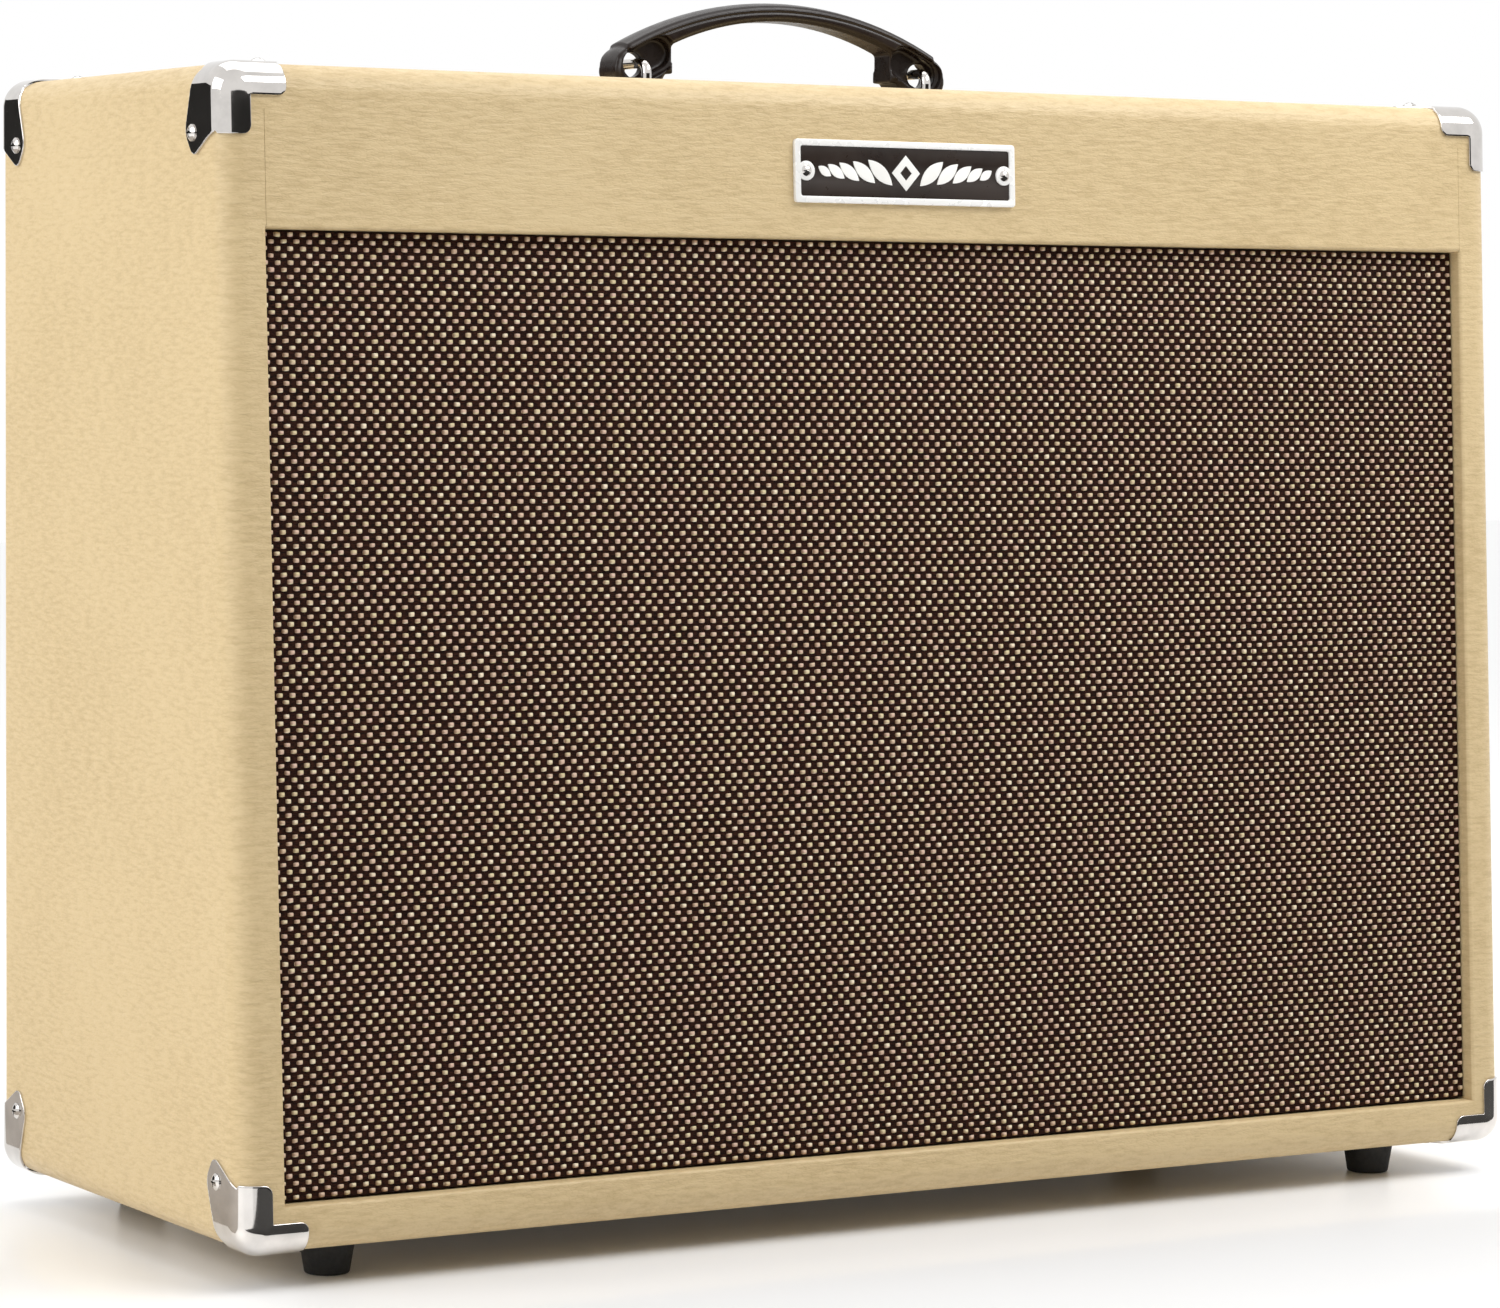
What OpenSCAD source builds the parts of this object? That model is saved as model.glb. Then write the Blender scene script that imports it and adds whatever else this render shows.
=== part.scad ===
// Open-back guitar amplifier combo with two 12-inch loudspeakers.
// The floor is z = 0, x runs along the width, and the grille faces -Y.
// The cabinet's rear is upright and its front leans back.

/* [Cabinet] */
// Width of the cabinet
cab_w = 690; // [675:1:840]
// Height of the cabinet without its feet
cab_h = 512; // [470:1:620]
// Depth of the cabinet at its bottom
cab_d = 275; // [260:1:335]
// Angle by which the front leans back
lean = 3; // [1:0.5:4]
// Radius of the rounded outer edges
edge_r = 12; // [8:1:14]
// Thickness of the side boards
side_t = 20.5; // [18:0.5:25]
// Thickness of the top board
top_t = 20; // [16:0.5:24]
// Thickness of the bottom board
bottom_t = 21; // [18:0.5:25]
// Height of the covered panel above the grille
front_panel_h = 71; // [60:1:90]
// Clearance of boards that drop in between others
board_gap = 0.5; // [0.3:0.1:1]

/* [Grille and baffle] */
// Depth of the grille cloth behind the front edges
grille_recess = 6; // [4:0.5:10]
// Thickness of the grille cloth
cloth_t = 1.2; // [0.8:0.1:2]
// Thickness of the grille frame
frame_t = 8.8; // [6:0.2:12]
// Width of the grille frame's rails
frame_rail = 16; // [12:1:30]
// Thickness of the baffle board
baffle_t = 15; // [12:1:19]
// Width of the battens that the baffle and the back panels screw to
batten_w = 9; // [7:0.5:11]
// Depth of those battens
batten_d = 22; // [16:1:30]
// Length of the short battens in the corners of the baffle
batten_l = 70; // [50:1:90]

/* [Nameplate] */
// Length of the nameplate
plate_w = 120; // [90:1:160]
// Height of the nameplate
plate_h = 29; // [20:1:40]
// Thickness of the nameplate
plate_t = 2; // [1.5:0.1:3]
// Height of the nameplate's centre above the grille opening
plate_up = 31; // [25:1:40]

/* [Handle] */
// Half of the handle's length
grip_half = 92; // [85:1:110]
// Width of the grip from front to back
grip_w = 21; // [18:0.5:26]
// Height of the top of the grip's arch
grip_rise = 44; // [40:1:55]
// Thickness of the grip at the middle
grip_t = 9; // [8:0.5:12]
// Distance of the grip behind the middle of the cabinet
grip_y = 5; // [0:1:10]
// Radius of the staple's rod
staple_r = 2.4; // [2:0.1:2.6]
// Upward play of the grip on its staples
grip_play = 3; // [1:0.5:3]

/* [Corners and feet] */
// Thickness of the corner caps
cap_t = 1.2; // [0.8:0.1:2]
// Distance of a cap's screw from the side edges
cap_screw_up = 30; // [26:1:34]
// Distance of a cap's screw from the front or rear edge
cap_screw_in = 25.5; // [22:0.5:30]
// Height of the rubber feet
foot_h = 16.5; // [12:0.5:30]
// Radius of a foot where it meets the cabinet
foot_r = 12.5; // [10:0.5:20]
// Distance of the feet from the sides of the cabinet
foot_in_x = 57.5; // [45:0.5:80]
// Distance of the feet from the front and rear edges
foot_in_y = 37; // [30:0.5:60]

/* [Loudspeakers] */
// Outer diameter of a loudspeaker's frame
speaker_d = 309; // [300:1:312]
// Gap between the two loudspeakers
speaker_gap = 9; // [5:1:14]
// Width of the loudspeaker's rim that rests on the baffle
rim_seat = 13; // [12.5:0.5:16]
// Depth of a loudspeaker's frame
basket_h = 80; // [66:1:96]
// Diameter of the magnet
magnet_d = 140; // [116:1:168]
// Thickness of the magnet's ring
magnet_h = 18; // [14:1:26]
// Travel of the cone each way
cone_travel = 3; // [2:0.5:4]

/* [Back] */
// Thickness of the back panels
back_t = 12; // [9:0.5:15]
// Distance of the back panels from the rear edge
back_in = 2.5; // [2:0.5:6]
// Height of the upper back panel
upper_back_h = 90; // [75:1:110]
// Height of the lower back panel
lower_back_h = 110; // [60:1:132]

/* [Chassis and controls] */
// Clearance between the chassis and the battens beside it
chassis_gap = 3.5; // [2:0.5:6]
// Height of the chassis
chassis_h = 80; // [66:1:96]
// Thickness of the chassis sheet
sheet_t = 1.5; // [1:0.1:2]
// Width of the top board that covers each end of the chassis
recess_end = 38; // [30:1:46]
// Width of the top board that covers the front and the rear of the chassis
recess_side = 12; // [10:0.5:14]
// Spacing of the knobs
knob_pitch = 60; // [40:1:60]
// Radius of a knob's skirt
knob_r = 9.5; // [8:0.5:11]
// Height of a knob
knob_h = 14; // [11.5:0.5:16.5]
// Radius of the potentiometer shafts
shaft_r = 3; // [2.5:0.1:3.6]
// Radial clearance of turning shafts and pins
run_gap = 0.05; // [0.03:0.01:0.1]
// Radius of the bore of the jack sockets
jack_r = 3.2; // [3.175:0.005:3.25]

/* [Hidden] */
$fn = 48;
edge_fn = 32;
overlap = 1;
box_top = foot_h + cab_h;
floor_top = foot_h + bottom_t;
inner_top = box_top - top_t;
inner_w = cab_w - 2 * side_t;
rear_y = cab_d / 2;
far = 2 * cab_w;

// Depths behind the leaning front face
frame_front = grille_recess + cloth_t;
baffle_front = frame_front + frame_t;
baffle_rear = baffle_front + baffle_t;
opening_top = (cab_h - front_panel_h) / cos(lean);
speaker_x = (speaker_d + speaker_gap) / 2;
speaker_z = (bottom_t + cab_h - front_panel_h) / 2 / cos(lean);
plate_z = opening_top + plate_up;
pin_x = plate_w / 2 - 6;
pin_r = 2;

// Loudspeaker profile, outwards from its axis and back from the baffle
rim_t = 2;
rim_in = speaker_d / 2 - rim_seat - 1.5;
neck_h = 14;
seat_r = 72;
wall_t = 2;
coil_r = 26.4;
coil_in = 25.2;
pole_r = 23.9;
gap_r = 27.4;
plate_steel = 6;
bolt_ring = speaker_d / 2 - 6.3;
bolt_r = 2.5;
bolts = 8;

// Back panels
back_y = rear_y - back_in - back_t;
upper_back_z = inner_top - board_gap - upper_back_h;
batten_y = back_y - batten_d;
jack_window = [190, 36];
inlet_window = [66, 44];
jack_x = -150;

// Staples of the handle and the nuts under the top board
staple_x = grip_half - 14;
leg_y = grip_w / 2 + staple_r + 0.5;
nut_r = 4.9;

// Chassis, which starts just behind those nuts
panel_t = sheet_t;
jack_room = 5;
tab_w = 12;
chassis_top = inner_top - panel_t;
chassis_half = inner_w / 2 - batten_w - chassis_gap - tab_w;
chassis_y = grip_y + leg_y + nut_r + 0.7;
chassis_d = back_y - jack_room - chassis_y;
chassis_low = chassis_top - chassis_h;
control_y = chassis_y + chassis_d / 2;
wall_z = chassis_top - 32;
recess_half = chassis_half - recess_end;
recess_d = chassis_d - 2 * recess_side;

// Controls, from the player's right to left
pot_x = [for (i = [0:5]) (i - 3) * knob_pitch];
bush_r = shaft_r + 1.4;
jack_bush_r = jack_r + 2;
nut_h = 2.2;
knob_z = inner_top + nut_h + 0.8;
input_x = pot_x[0] - 55;
toggle_x = pot_x[5] + 45;
lamp_x = toggle_x + 35;
rocker_x = lamp_x + 40;
toggle_swing = 12;
rocker_swing = 8;
toggle_z = inner_top + 1;
rocker_z = inner_top - 3;
rear_jacks = [-45, 0, 45];

// Screws
screw_r = 1.75;
head_r = 3.7;
head_h = 2;
cap_screw_l = 14;
back_screw_l = 24;
tab_screw_l = 14;
foot_screw_l = 14;

function front_y(z) = -cab_d / 2 + (z - foot_h) * tan(lean);

// A frame whose y is the depth behind the front face and whose z runs up that face
module on_front() {
    translate([0, -cab_d / 2, foot_h]) rotate([-lean, 0, 0]) children();
}

module rounded(grow) {
    offset(r = edge_r + grow, $fn = edge_fn) offset(delta = -edge_r) children();
}

// The cabinet's outer form with its rounded edges, grown by an even amount
module cabinet_form(grow = 0) {
    intersection() {
        rotate([90, 0, 90]) linear_extrude(far, center = true) rounded(grow)
            polygon([[-cab_d / 2, foot_h], [rear_y, foot_h], [rear_y, box_top],
                     [front_y(box_top), box_top]]);
        rotate([90, 0, 0]) linear_extrude(far, center = true) rounded(grow)
            translate([-cab_w / 2, foot_h]) square([cab_w, cab_h]);
        linear_extrude(far, center = true) rounded(grow)
            translate([-cab_w / 2, rear_y - far]) square([cab_w, far]);
        on_front() linear_extrude(far, center = true) rounded(grow)
            translate([-cab_w / 2, 0]) square([cab_w, far]);
    }
}

// A block centred on x, from one y and z to another
module bar(w, y0, y1, z0, z1) {
    translate([-w / 2, y0, z0]) cube([w, y1 - y0, z1 - z0]);
}

// A pan-head screw that points down from z = 0
module screw(length, r = screw_r, wide = head_r) {
    dome_r = (wide * wide * 1.2 + head_h * head_h) / (2 * head_h);
    slot = wide * 0.22;
    difference() {
        union() {
            intersection() {
                translate([0, 0, head_h - dome_r]) sphere(r = dome_r, $fn = 64);
                cylinder(r = wide, h = head_h);
            }
            translate([0, 0, -length]) cylinder(r = r, h = length + head_h / 2);
        }
        for (turn = [0, 90]) rotate(turn) translate([0, 0, head_h])
            cube([wide * 1.2, slot, head_h], center = true);
    }
}

module screw_hole(length, r = screw_r) {
    translate([0, 0, -length]) cylinder(r = r, h = length + overlap);
}

// Places children at an outer corner, with x, y and z pointing into the cabinet
module at_corner(side, depth, height) {
    z = height > 0 ? box_top : foot_h;
    y = depth > 0 ? rear_y : front_y(z);
    translate([side * cab_w / 2, y, z]) mirror([side > 0 ? 1 : 0, 0, 0])
        mirror([0, depth > 0 ? 1 : 0, 0]) mirror([0, 0, height > 0 ? 1 : 0]) children();
}

module each_cap_screw() {
    for (side = [-1, 1], depth = [-1, 1], height = [-1, 1]) at_corner(side, depth, height) {
        translate([-cap_t, cap_screw_in, cap_screw_up]) rotate([0, -90, 0]) children();
        translate([cap_screw_up, cap_screw_in, -cap_t]) rotate([180, 0, 0]) children();
    }
}

module cap_screw_holes() {
    each_cap_screw() screw_hole(cap_screw_l);
}

module each_foot() {
    for (side = [-1, 1], depth = [-1, 1])
        translate([side * (cab_w / 2 - foot_in_x), depth * (cab_d / 2 - foot_in_y), 0]) children();
}

module each_staple() {
    for (side = [-1, 1]) translate([side * staple_x, grip_y, box_top]) children();
}

// ---- Cabinet boards ----

module side_board(side) {
    color("wheat") difference() {
        intersection() {
            cabinet_form();
            translate([side > 0 ? inner_w / 2 : -inner_w / 2 - far, -far / 2, floor_top])
                cube([far, far, inner_top - floor_top]);
        }
        cap_screw_holes();
    }
}

module left_side_board() side_board(-1);

module right_side_board() side_board(1);

module top_board() {
    color("wheat") difference() {
        intersection() {
            cabinet_form();
            bar(far, -far, far, inner_top, far);
        }
        translate([0, control_y, inner_top])
            cube([2 * recess_half, recess_d, 4 * top_t], center = true);
        cap_screw_holes();
        each_staple() for (leg = [-1, 1]) translate([0, leg * leg_y, -2 * top_t])
            cylinder(r = staple_r, h = 4 * top_t);
        each_chassis_tab() cylinder(r = screw_r, h = tab_screw_l);
    }
}

module bottom_board() {
    color("wheat") difference() {
        intersection() {
            cabinet_form();
            bar(far, -far, far, -far, floor_top);
        }
        cap_screw_holes();
        each_foot() cylinder(r = screw_r, h = foot_h + foot_screw_l);
    }
}

module top_front_panel() {
    color("wheat") difference() {
        intersection() {
            cabinet_form();
            bar(inner_w, -far, far, foot_h, inner_top);
            on_front() bar(far, -overlap, baffle_front, opening_top, far);
        }
        on_front() each_pin() cylinder(r = pin_r, h = 8);
    }
}

// ---- Grille and baffle ----

// Height up the front face at which a board of this rear depth clears the bottom board
function seat_z(depth) = (bottom_t + board_gap + depth * sin(lean)) / cos(lean);

module grille_blank(y0, y1, inset) {
    w = inner_w - 2 * board_gap - 2 * inset;
    on_front() bar(w, y0, y1, seat_z(baffle_front) + inset, opening_top - board_gap - inset);
}

module grille_cloth() {
    color("#53433a") grille_blank(grille_recess, frame_front, 0);
}

module grille_frame() {
    color("#2a2320") difference() {
        grille_blank(frame_front, baffle_front, 0);
        grille_blank(frame_front - overlap, baffle_front + overlap, frame_rail);
    }
}

module each_speaker() {
    for (side = [-1, 1]) speaker_axis(side) children();
}

// z runs back along the loudspeaker's axis from the rear of the baffle
module speaker_axis(side) {
    on_front() translate([side * speaker_x, baffle_rear, speaker_z]) rotate([-90, 0, 0])
        children();
}

module each_bolt() {
    for (i = [0:bolts - 1]) rotate((i + 0.5) * 360 / bolts) translate([bolt_ring, 0, 0])
        children();
}

module baffle_board() {
    color("#211f1d") difference() {
        on_front() bar(inner_w - 2 * board_gap, baffle_front, baffle_rear,
            seat_z(baffle_rear), cab_h - top_t - board_gap);
        each_speaker() {
            translate([0, 0, -2 * baffle_t])
                cylinder(r = speaker_d / 2 - rim_seat, h = 3 * baffle_t, $fn = 96);
            each_bolt() translate([0, 0, -baffle_t * 0.8]) cylinder(r = bolt_r, h = baffle_t);
        }
    }
}

module each_side_strip(w) {
    for (side = [-1, 1]) translate([side * (inner_w / 2 - w / 2), 0, 0]) children();
}

module mounting_battens() {
    low = seat_z(baffle_rear + batten_d);
    high = cab_h - top_t - board_gap;
    color("burlywood") difference() {
        each_side_strip(batten_w) {
            for (z = [low, high - batten_l])
                on_front() bar(batten_w, baffle_rear, baffle_rear + batten_d, z, z + batten_l);
            bar(batten_w, batten_y, back_y, floor_top, inner_top);
        }
        each_back_screw() screw_hole(back_screw_l);
    }
}

// ---- Nameplate ----

module each_pin() {
    for (side = [-1, 1]) translate([side * pin_x, -plate_t, plate_z]) rotate([-90, 0, 0])
        children();
}

module plate_outline(inset, corner) {
    offset(r = corner) offset(delta = -inset - corner) square([plate_w, plate_h], center = true);
}

module nameplate() {
    color("gainsboro") difference() {
        on_front() translate([0, 0, plate_z]) rotate([90, 0, 0]) difference() {
            linear_extrude(plate_t) plate_outline(0, 2);
            translate([0, 0, plate_t * 0.6]) linear_extrude(plate_t) difference() {
                plate_outline(3, 3);
                for (side = [-1, 1]) translate([side * pin_x, 0]) circle(r = 4.5);
            }
        }
        on_front() each_pin() translate([0, 0, -overlap]) cylinder(r = pin_r, h = 8);
    }
}

module nameplate_pins() {
    color("silver") on_front() each_pin() {
        cylinder(r = pin_r, h = 8);
        intersection() {
            translate([0, 0, 2.2]) sphere(r = 3.4);
            translate([0, 0, -2]) cylinder(r = 3, h = 2);
        }
    }
}

// ---- Handle ----

bulb_in = grip_half - 31;
rod_z = 12.6;
bend_r = 5;
eye_out = 2;
eye_z = 12;
rod_up = rod_z - eye_z;
// The rod sits off the eye's centre, so the hole clears it at rest and at the top of the play.
eye_r = staple_r + norm([eye_out, max(rod_up, grip_play - rod_up)]) + 0.3;
web_t = 6;

module grip_outline() {
    top_r = (grip_half * grip_half + 25 * 25) / (2 * 25);
    under_r = (bulb_in * bulb_in + 13 * 13) / (2 * 13);
    difference() {
        union() {
            intersection() {
                translate([0, grip_rise - top_r]) circle(r = top_r, $fn = 180);
                translate([-grip_half + 6, 8]) square([2 * grip_half - 12, grip_rise]);
            }
            for (side = [-1, 1]) hull() {
                translate([side * (grip_half - 8.5), 9]) circle(r = 8.5);
                translate([side * (grip_half - 9.5), 12]) circle(r = 9);
                translate([side * (bulb_in + 11), 5.5]) circle(r = 5);
                translate([side * (bulb_in + 3), 15]) circle(r = 3);
                translate([side * (bulb_in + 3), 22]) circle(r = 3);
            }
        }
        intersection() {
            translate([0, grip_rise - grip_t - under_r]) circle(r = under_r, $fn = 180);
            translate([-bulb_in, -overlap]) square([2 * bulb_in, grip_rise]);
        }
    }
}

module eye() {
    for (side = [-1, 1]) translate([side * (staple_x + eye_out), eye_z]) circle(r = eye_r);
}

module pocket(grow) {
    for (side = [-1, 1]) hull() {
        translate([side * (staple_x + eye_out), eye_z]) circle(r = eye_r + grow);
        translate([side * (staple_x - 9), 17.5]) circle(r = eye_r + grow);
    }
}

module handle_grip() {
    color("#1d1512") translate([0, grip_y, box_top]) rotate([90, 0, 0]) difference() {
        union() {
            linear_extrude(grip_w - 4, center = true) grip_outline();
            linear_extrude(grip_w, center = true) offset(delta = -1.5) grip_outline();
        }
        linear_extrude(2 * grip_w, center = true) eye();
        for (face = [-1, 1]) translate([0, 0, face * grip_w / 2]) {
            linear_extrude(grip_w - web_t, center = true) pocket(1.2);
            linear_extrude(6, center = true) pocket(3);
        }
    }
}

module handle_staples() {
    leg_z = rod_z - bend_r;
    color("silver") each_staple() {
        rotate([90, 0, 0]) translate([0, rod_z, 0])
            cylinder(r = staple_r, h = 2 * (leg_y - bend_r), center = true);
        for (leg = [-1, 1]) {
            translate([0, leg * (leg_y - bend_r), leg_z]) rotate([90, 0, leg * 90])
                rotate_extrude(angle = 90) translate([bend_r, 0]) circle(r = staple_r, $fn = 24);
            translate([0, leg * leg_y, -top_t - 12]) cylinder(r = staple_r, h = top_t + 12 + leg_z);
        }
    }
}

module handle_nuts() {
    color("gray") each_staple() for (leg = [-1, 1]) translate([0, leg * leg_y, -top_t]) {
        translate([0, 0, -1.2]) ring(7, staple_r, 1.2);
        translate([0, 0, -6]) difference() {
            cylinder(r = nut_r, h = 4.8, $fn = 6);
            translate([0, 0, -overlap]) cylinder(r = staple_r, h = 8);
        }
    }
}

module ring(outer, inner, h) {
    difference() {
        cylinder(r = outer, h = h);
        translate([0, 0, -overlap]) cylinder(r = inner, h = h + 2 * overlap);
    }
}

// ---- Corner caps ----

ear_end = 39.5;
lip_w = 14;
lip_l = 31;
lip_side = 6;

module ear_outline() {
    union() {
        hull() {
            translate([lip_side, -2]) square([18, cap_screw_up + 1.5]);
            translate([cap_screw_in, cap_screw_up - 1.5]) circle(r = 8.5);
            translate([cap_screw_in, ear_end - 2.5]) circle(r = 2.5);
        }
        translate([-2, -2]) square([lip_side + 3, cap_screw_up + 1.5]);
    }
}

module lip_outline() {
    translate([-3, -3]) offset(r = 3) offset(delta = -3) union() {
        square([lip_w + 3, lip_l + 3]);
        square([lip_l + 3, lip_w + 3]);
    }
}

// The wrap of one cap, cut from a skin around the cabinet form
module cap_reach() {
    deep = edge_r + cap_t + 4;
    translate([-cap_t - 2, 0, 0]) rotate([90, 0, 90]) linear_extrude(deep) ear_outline();
    translate([0, 0, -cap_t - 2]) linear_extrude(deep) mirror([1, -1, 0]) ear_outline();
    translate([0, lip_side, 0]) rotate([90, 0, 0])
        linear_extrude(lip_side + cap_t + 2) lip_outline();
}

module corner_caps(depth, height) {
    color("silver") difference() {
        intersection() {
            cabinet_form(cap_t);
            for (side = [-1, 1]) at_corner(side, depth, height) cap_reach();
        }
        cabinet_form();
        cap_screw_holes();
    }
}

module corner_cap_screws() {
    color("silver") each_cap_screw() screw(cap_screw_l);
}

// ---- Feet ----

module rubber_feet() {
    color("#161616") each_foot() difference() {
        cylinder(r1 = foot_r * 0.8, r2 = foot_r, h = foot_h);
        translate([0, 0, -overlap]) cylinder(r = 5, h = foot_h * 0.5 + overlap);
        cylinder(r = screw_r, h = foot_h + overlap);
    }
}

// ---- Back ----

module each_back_screw() {
    upper = [upper_back_z + 15, upper_back_z + upper_back_h - 15];
    lower = [floor_top + 15, floor_top + lower_back_h - 15];
    each_side_strip(batten_w) for (z = concat(upper, lower))
        translate([0, back_y + back_t, z]) rotate([-90, 0, 0]) children();
}

module back_board(z, h) {
    bar(inner_w - 2 * board_gap, back_y, back_y + back_t, z, z + h);
}

module upper_back_panel() {
    color("#262320") difference() {
        back_board(upper_back_z, upper_back_h);
        translate([jack_x, back_y, wall_z])
            cube([jack_window[0], 4 * back_t, jack_window[1]], center = true);
        translate([inlet_x, back_y, wall_z])
            cube([inlet_window[0], 4 * back_t, inlet_window[1]], center = true);
        each_back_screw() screw_hole(back_screw_l);
    }
}

module lower_back_panel() {
    color("#262320") difference() {
        back_board(floor_top + board_gap, lower_back_h);
        each_back_screw() screw_hole(back_screw_l);
    }
}

module back_panel_screws() {
    color("silver") each_back_screw() screw(back_screw_l);
}

// ---- Chassis ----

module each_chassis_tab() {
    for (side = [-1, 1], y = [0.2, 0.8])
        translate([side * (chassis_half + tab_w / 2), chassis_y + y * chassis_d, inner_top])
            children();
}

module each_standoff() {
    for (x = [-208, 125], y = [10, chassis_d - 10]) translate([x, chassis_y + y, board_z])
        children();
}

board_z = chassis_top - 48;
core_x = chassis_half - sheet_t - 40;
inlet_x = core_x - 53.5;

// Holes that the panel and the chassis top share
module control_holes() {
    translate([0, control_y, chassis_top - 2 * sheet_t]) {
        for (x = pot_x) translate([x, 0, 0]) cylinder(r = bush_r, h = 4 * sheet_t);
        translate([input_x, 0, 0]) cylinder(r = jack_bush_r, h = 4 * sheet_t);
        translate([toggle_x, 0, 0]) cylinder(r = 5.2, h = 4 * sheet_t);
        translate([lamp_x, 0, 0]) cylinder(r = 5.8, h = 4 * sheet_t);
        translate([rocker_x, 0, 2 * sheet_t]) cube([26.6, 18.6, 8 * sheet_t], center = true);
    }
}

// The top of the chassis, folded down at the front
module chassis() {
    color("darkgray") difference() {
        union() {
            bar(2 * chassis_half, chassis_y, chassis_y + chassis_d, chassis_top - sheet_t,
                chassis_top);
            bar(2 * chassis_half, chassis_y, chassis_y + sheet_t, chassis_low, chassis_top);
            bar(2 * (chassis_half + tab_w), chassis_y + 8, chassis_y + chassis_d - 8,
                chassis_top - sheet_t, chassis_top);
            each_standoff() cylinder(r = 3, h = chassis_top - board_z - sheet_t / 2);
        }
        control_holes();
        each_chassis_tab() translate([0, 0, -4 * sheet_t]) cylinder(r = screw_r, h = 8 * sheet_t);
    }
}

// The rear and the ends, with an open notch that the mains inlet slides up into
module chassis_rear_plate() {
    rear = chassis_y + chassis_d;
    high = chassis_top - sheet_t;
    color("darkgray") difference() {
        union() {
            bar(2 * chassis_half, rear - sheet_t, rear, chassis_low, high);
            for (side = [-1, 1]) translate([side * (chassis_half - sheet_t / 2), 0, 0])
                bar(sheet_t, chassis_y + sheet_t, rear, chassis_low, high);
        }
        for (x = rear_jacks) rear_wall(jack_x + x)
            cylinder(r = jack_bush_r, h = 20, center = true);
        rear_wall(inlet_x) translate([-13.7, -10.2, -10]) cube([27.4, chassis_h, 20]);
    }
}

// z runs back out of the chassis rear wall
module rear_wall(x) {
    translate([x, chassis_y + chassis_d, wall_z]) rotate([-90, 0, 0]) children();
}

// The screws of the chassis and of the feet
module cabinet_screws() {
    color("silver") {
        each_chassis_tab() translate([0, 0, -panel_t - sheet_t]) mirror([0, 0, 1])
            screw(tab_screw_l);
        each_foot() translate([0, 0, foot_h * 0.5]) mirror([0, 0, 1])
            screw(foot_h * 0.5 + foot_screw_l);
    }
}

module control_panel() {
    color("#5a3a28") difference() {
        bar(2 * recess_half + 40, control_y - recess_d / 2 - 9, control_y + recess_d / 2 + 9,
            chassis_top, inner_top);
        control_holes();
    }
}

// ---- Controls ----

module nut(inner, outer, h) {
    difference() {
        cylinder(r = outer, h = h, $fn = 6);
        translate([0, 0, -overlap]) cylinder(r = inner, h = h + 2 * overlap);
    }
}

module potentiometers() {
    can_top = chassis_top - sheet_t;
    color("lightgray") for (x = pot_x) translate([x, control_y, 0]) {
        difference() {
            union() {
                translate([0, 0, can_top - 10]) cylinder(r = 11.5, h = 10);
                translate([0, 0, can_top - 1]) cylinder(r = bush_r, h = knob_z - can_top + 2.5);
                for (t = [-5, 0, 5]) translate([t - 1, -16, can_top - 4]) cube([2, 6, 1]);
            }
            translate([0, 0, can_top - 8]) cylinder(r = shaft_r + run_gap, h = 30);
        }
        translate([0, 0, inner_top]) nut(bush_r, 6.6, nut_h);
    }
}

module shaft(i) {
    low = chassis_top - sheet_t - 8 + 0.4;
    color("silver") translate([pot_x[i], control_y, low])
        cylinder(r = shaft_r, h = knob_z + knob_h - 3 - low);
}

// A pointer knob, pressed on its shaft
module knob(i) {
    color("#1b1614") translate([pot_x[i], control_y, knob_z]) difference() {
        union() {
            cylinder(r = knob_r, h = knob_h * 0.45);
            linear_extrude(knob_h) hull() {
                circle(r = knob_r * 0.55);
                translate([0, knob_r + 3]) circle(r = 1.2);
                translate([0, -knob_r + 0.5]) circle(r = 3);
            }
        }
        translate([0, 0, -overlap]) cylinder(r = bush_r + 1.6, h = 2.9 + overlap);
        cylinder(r = shaft_r, h = knob_h - 3);
    }
}

module input_jack() {
    color("gray") translate([input_x, control_y, 0]) {
        difference() {
            union() {
                translate([0, 0, chassis_top - sheet_t - 11.5]) cube([20, 17, 23], center = true);
                translate([0, 0, chassis_top - sheet_t - 2]) cylinder(r = jack_bush_r, h = 9);
            }
            translate([0, 0, chassis_top - sheet_t - 21]) cylinder(r = jack_r, h = 40);
        }
        translate([0, 0, inner_top]) nut(jack_bush_r, jack_bush_r + 2.4, 2.5);
    }
}

module rear_jack() {
    difference() {
        union() {
            translate([0, 0, -sheet_t - 11.5]) cube([17, 20, 23], center = true);
            translate([0, 0, -sheet_t - 2]) cylinder(r = jack_bush_r, h = 8);
        }
        translate([0, 0, -sheet_t - 21]) cylinder(r = jack_r, h = 40);
    }
    nut(jack_bush_r, jack_bush_r + 2.4, 2.5);
}

module rear_jacks() {
    color("gray") for (x = rear_jacks) rear_wall(jack_x + x) rear_jack();
}

module channel_switch() {
    color("silver") translate([toggle_x, control_y, 0]) {
        difference() {
            union() {
                translate([0, 0, chassis_top - sheet_t - 8]) cube([14, 14, 16], center = true);
                translate([0, 0, chassis_top - sheet_t - 2]) cylinder(r = 5.2, h = 9);
            }
            translate([0, 0, toggle_z - 6]) cylinder(r = 3.8, h = 20);
            translate([0, 0, toggle_z]) rotate([0, 90, 0])
                cylinder(r = 0.8 + run_gap, h = 12, center = true);
        }
        translate([0, 0, inner_top + 2 * sheet_t]) ring(6.6, 5.2, 1.2);
    }
}

module channel_lever() {
    color("silver") translate([toggle_x, control_y, toggle_z]) {
        rotate([0, 90, 0]) cylinder(r = 0.8, h = 9, center = true);
        rotate([-toggle_swing, 0, 0]) {
            sphere(r = 2.6);
            cylinder(r1 = 1.3, r2 = 1.9, h = 13);
            translate([0, 0, 13]) sphere(r = 2.1);
        }
    }
}

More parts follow.
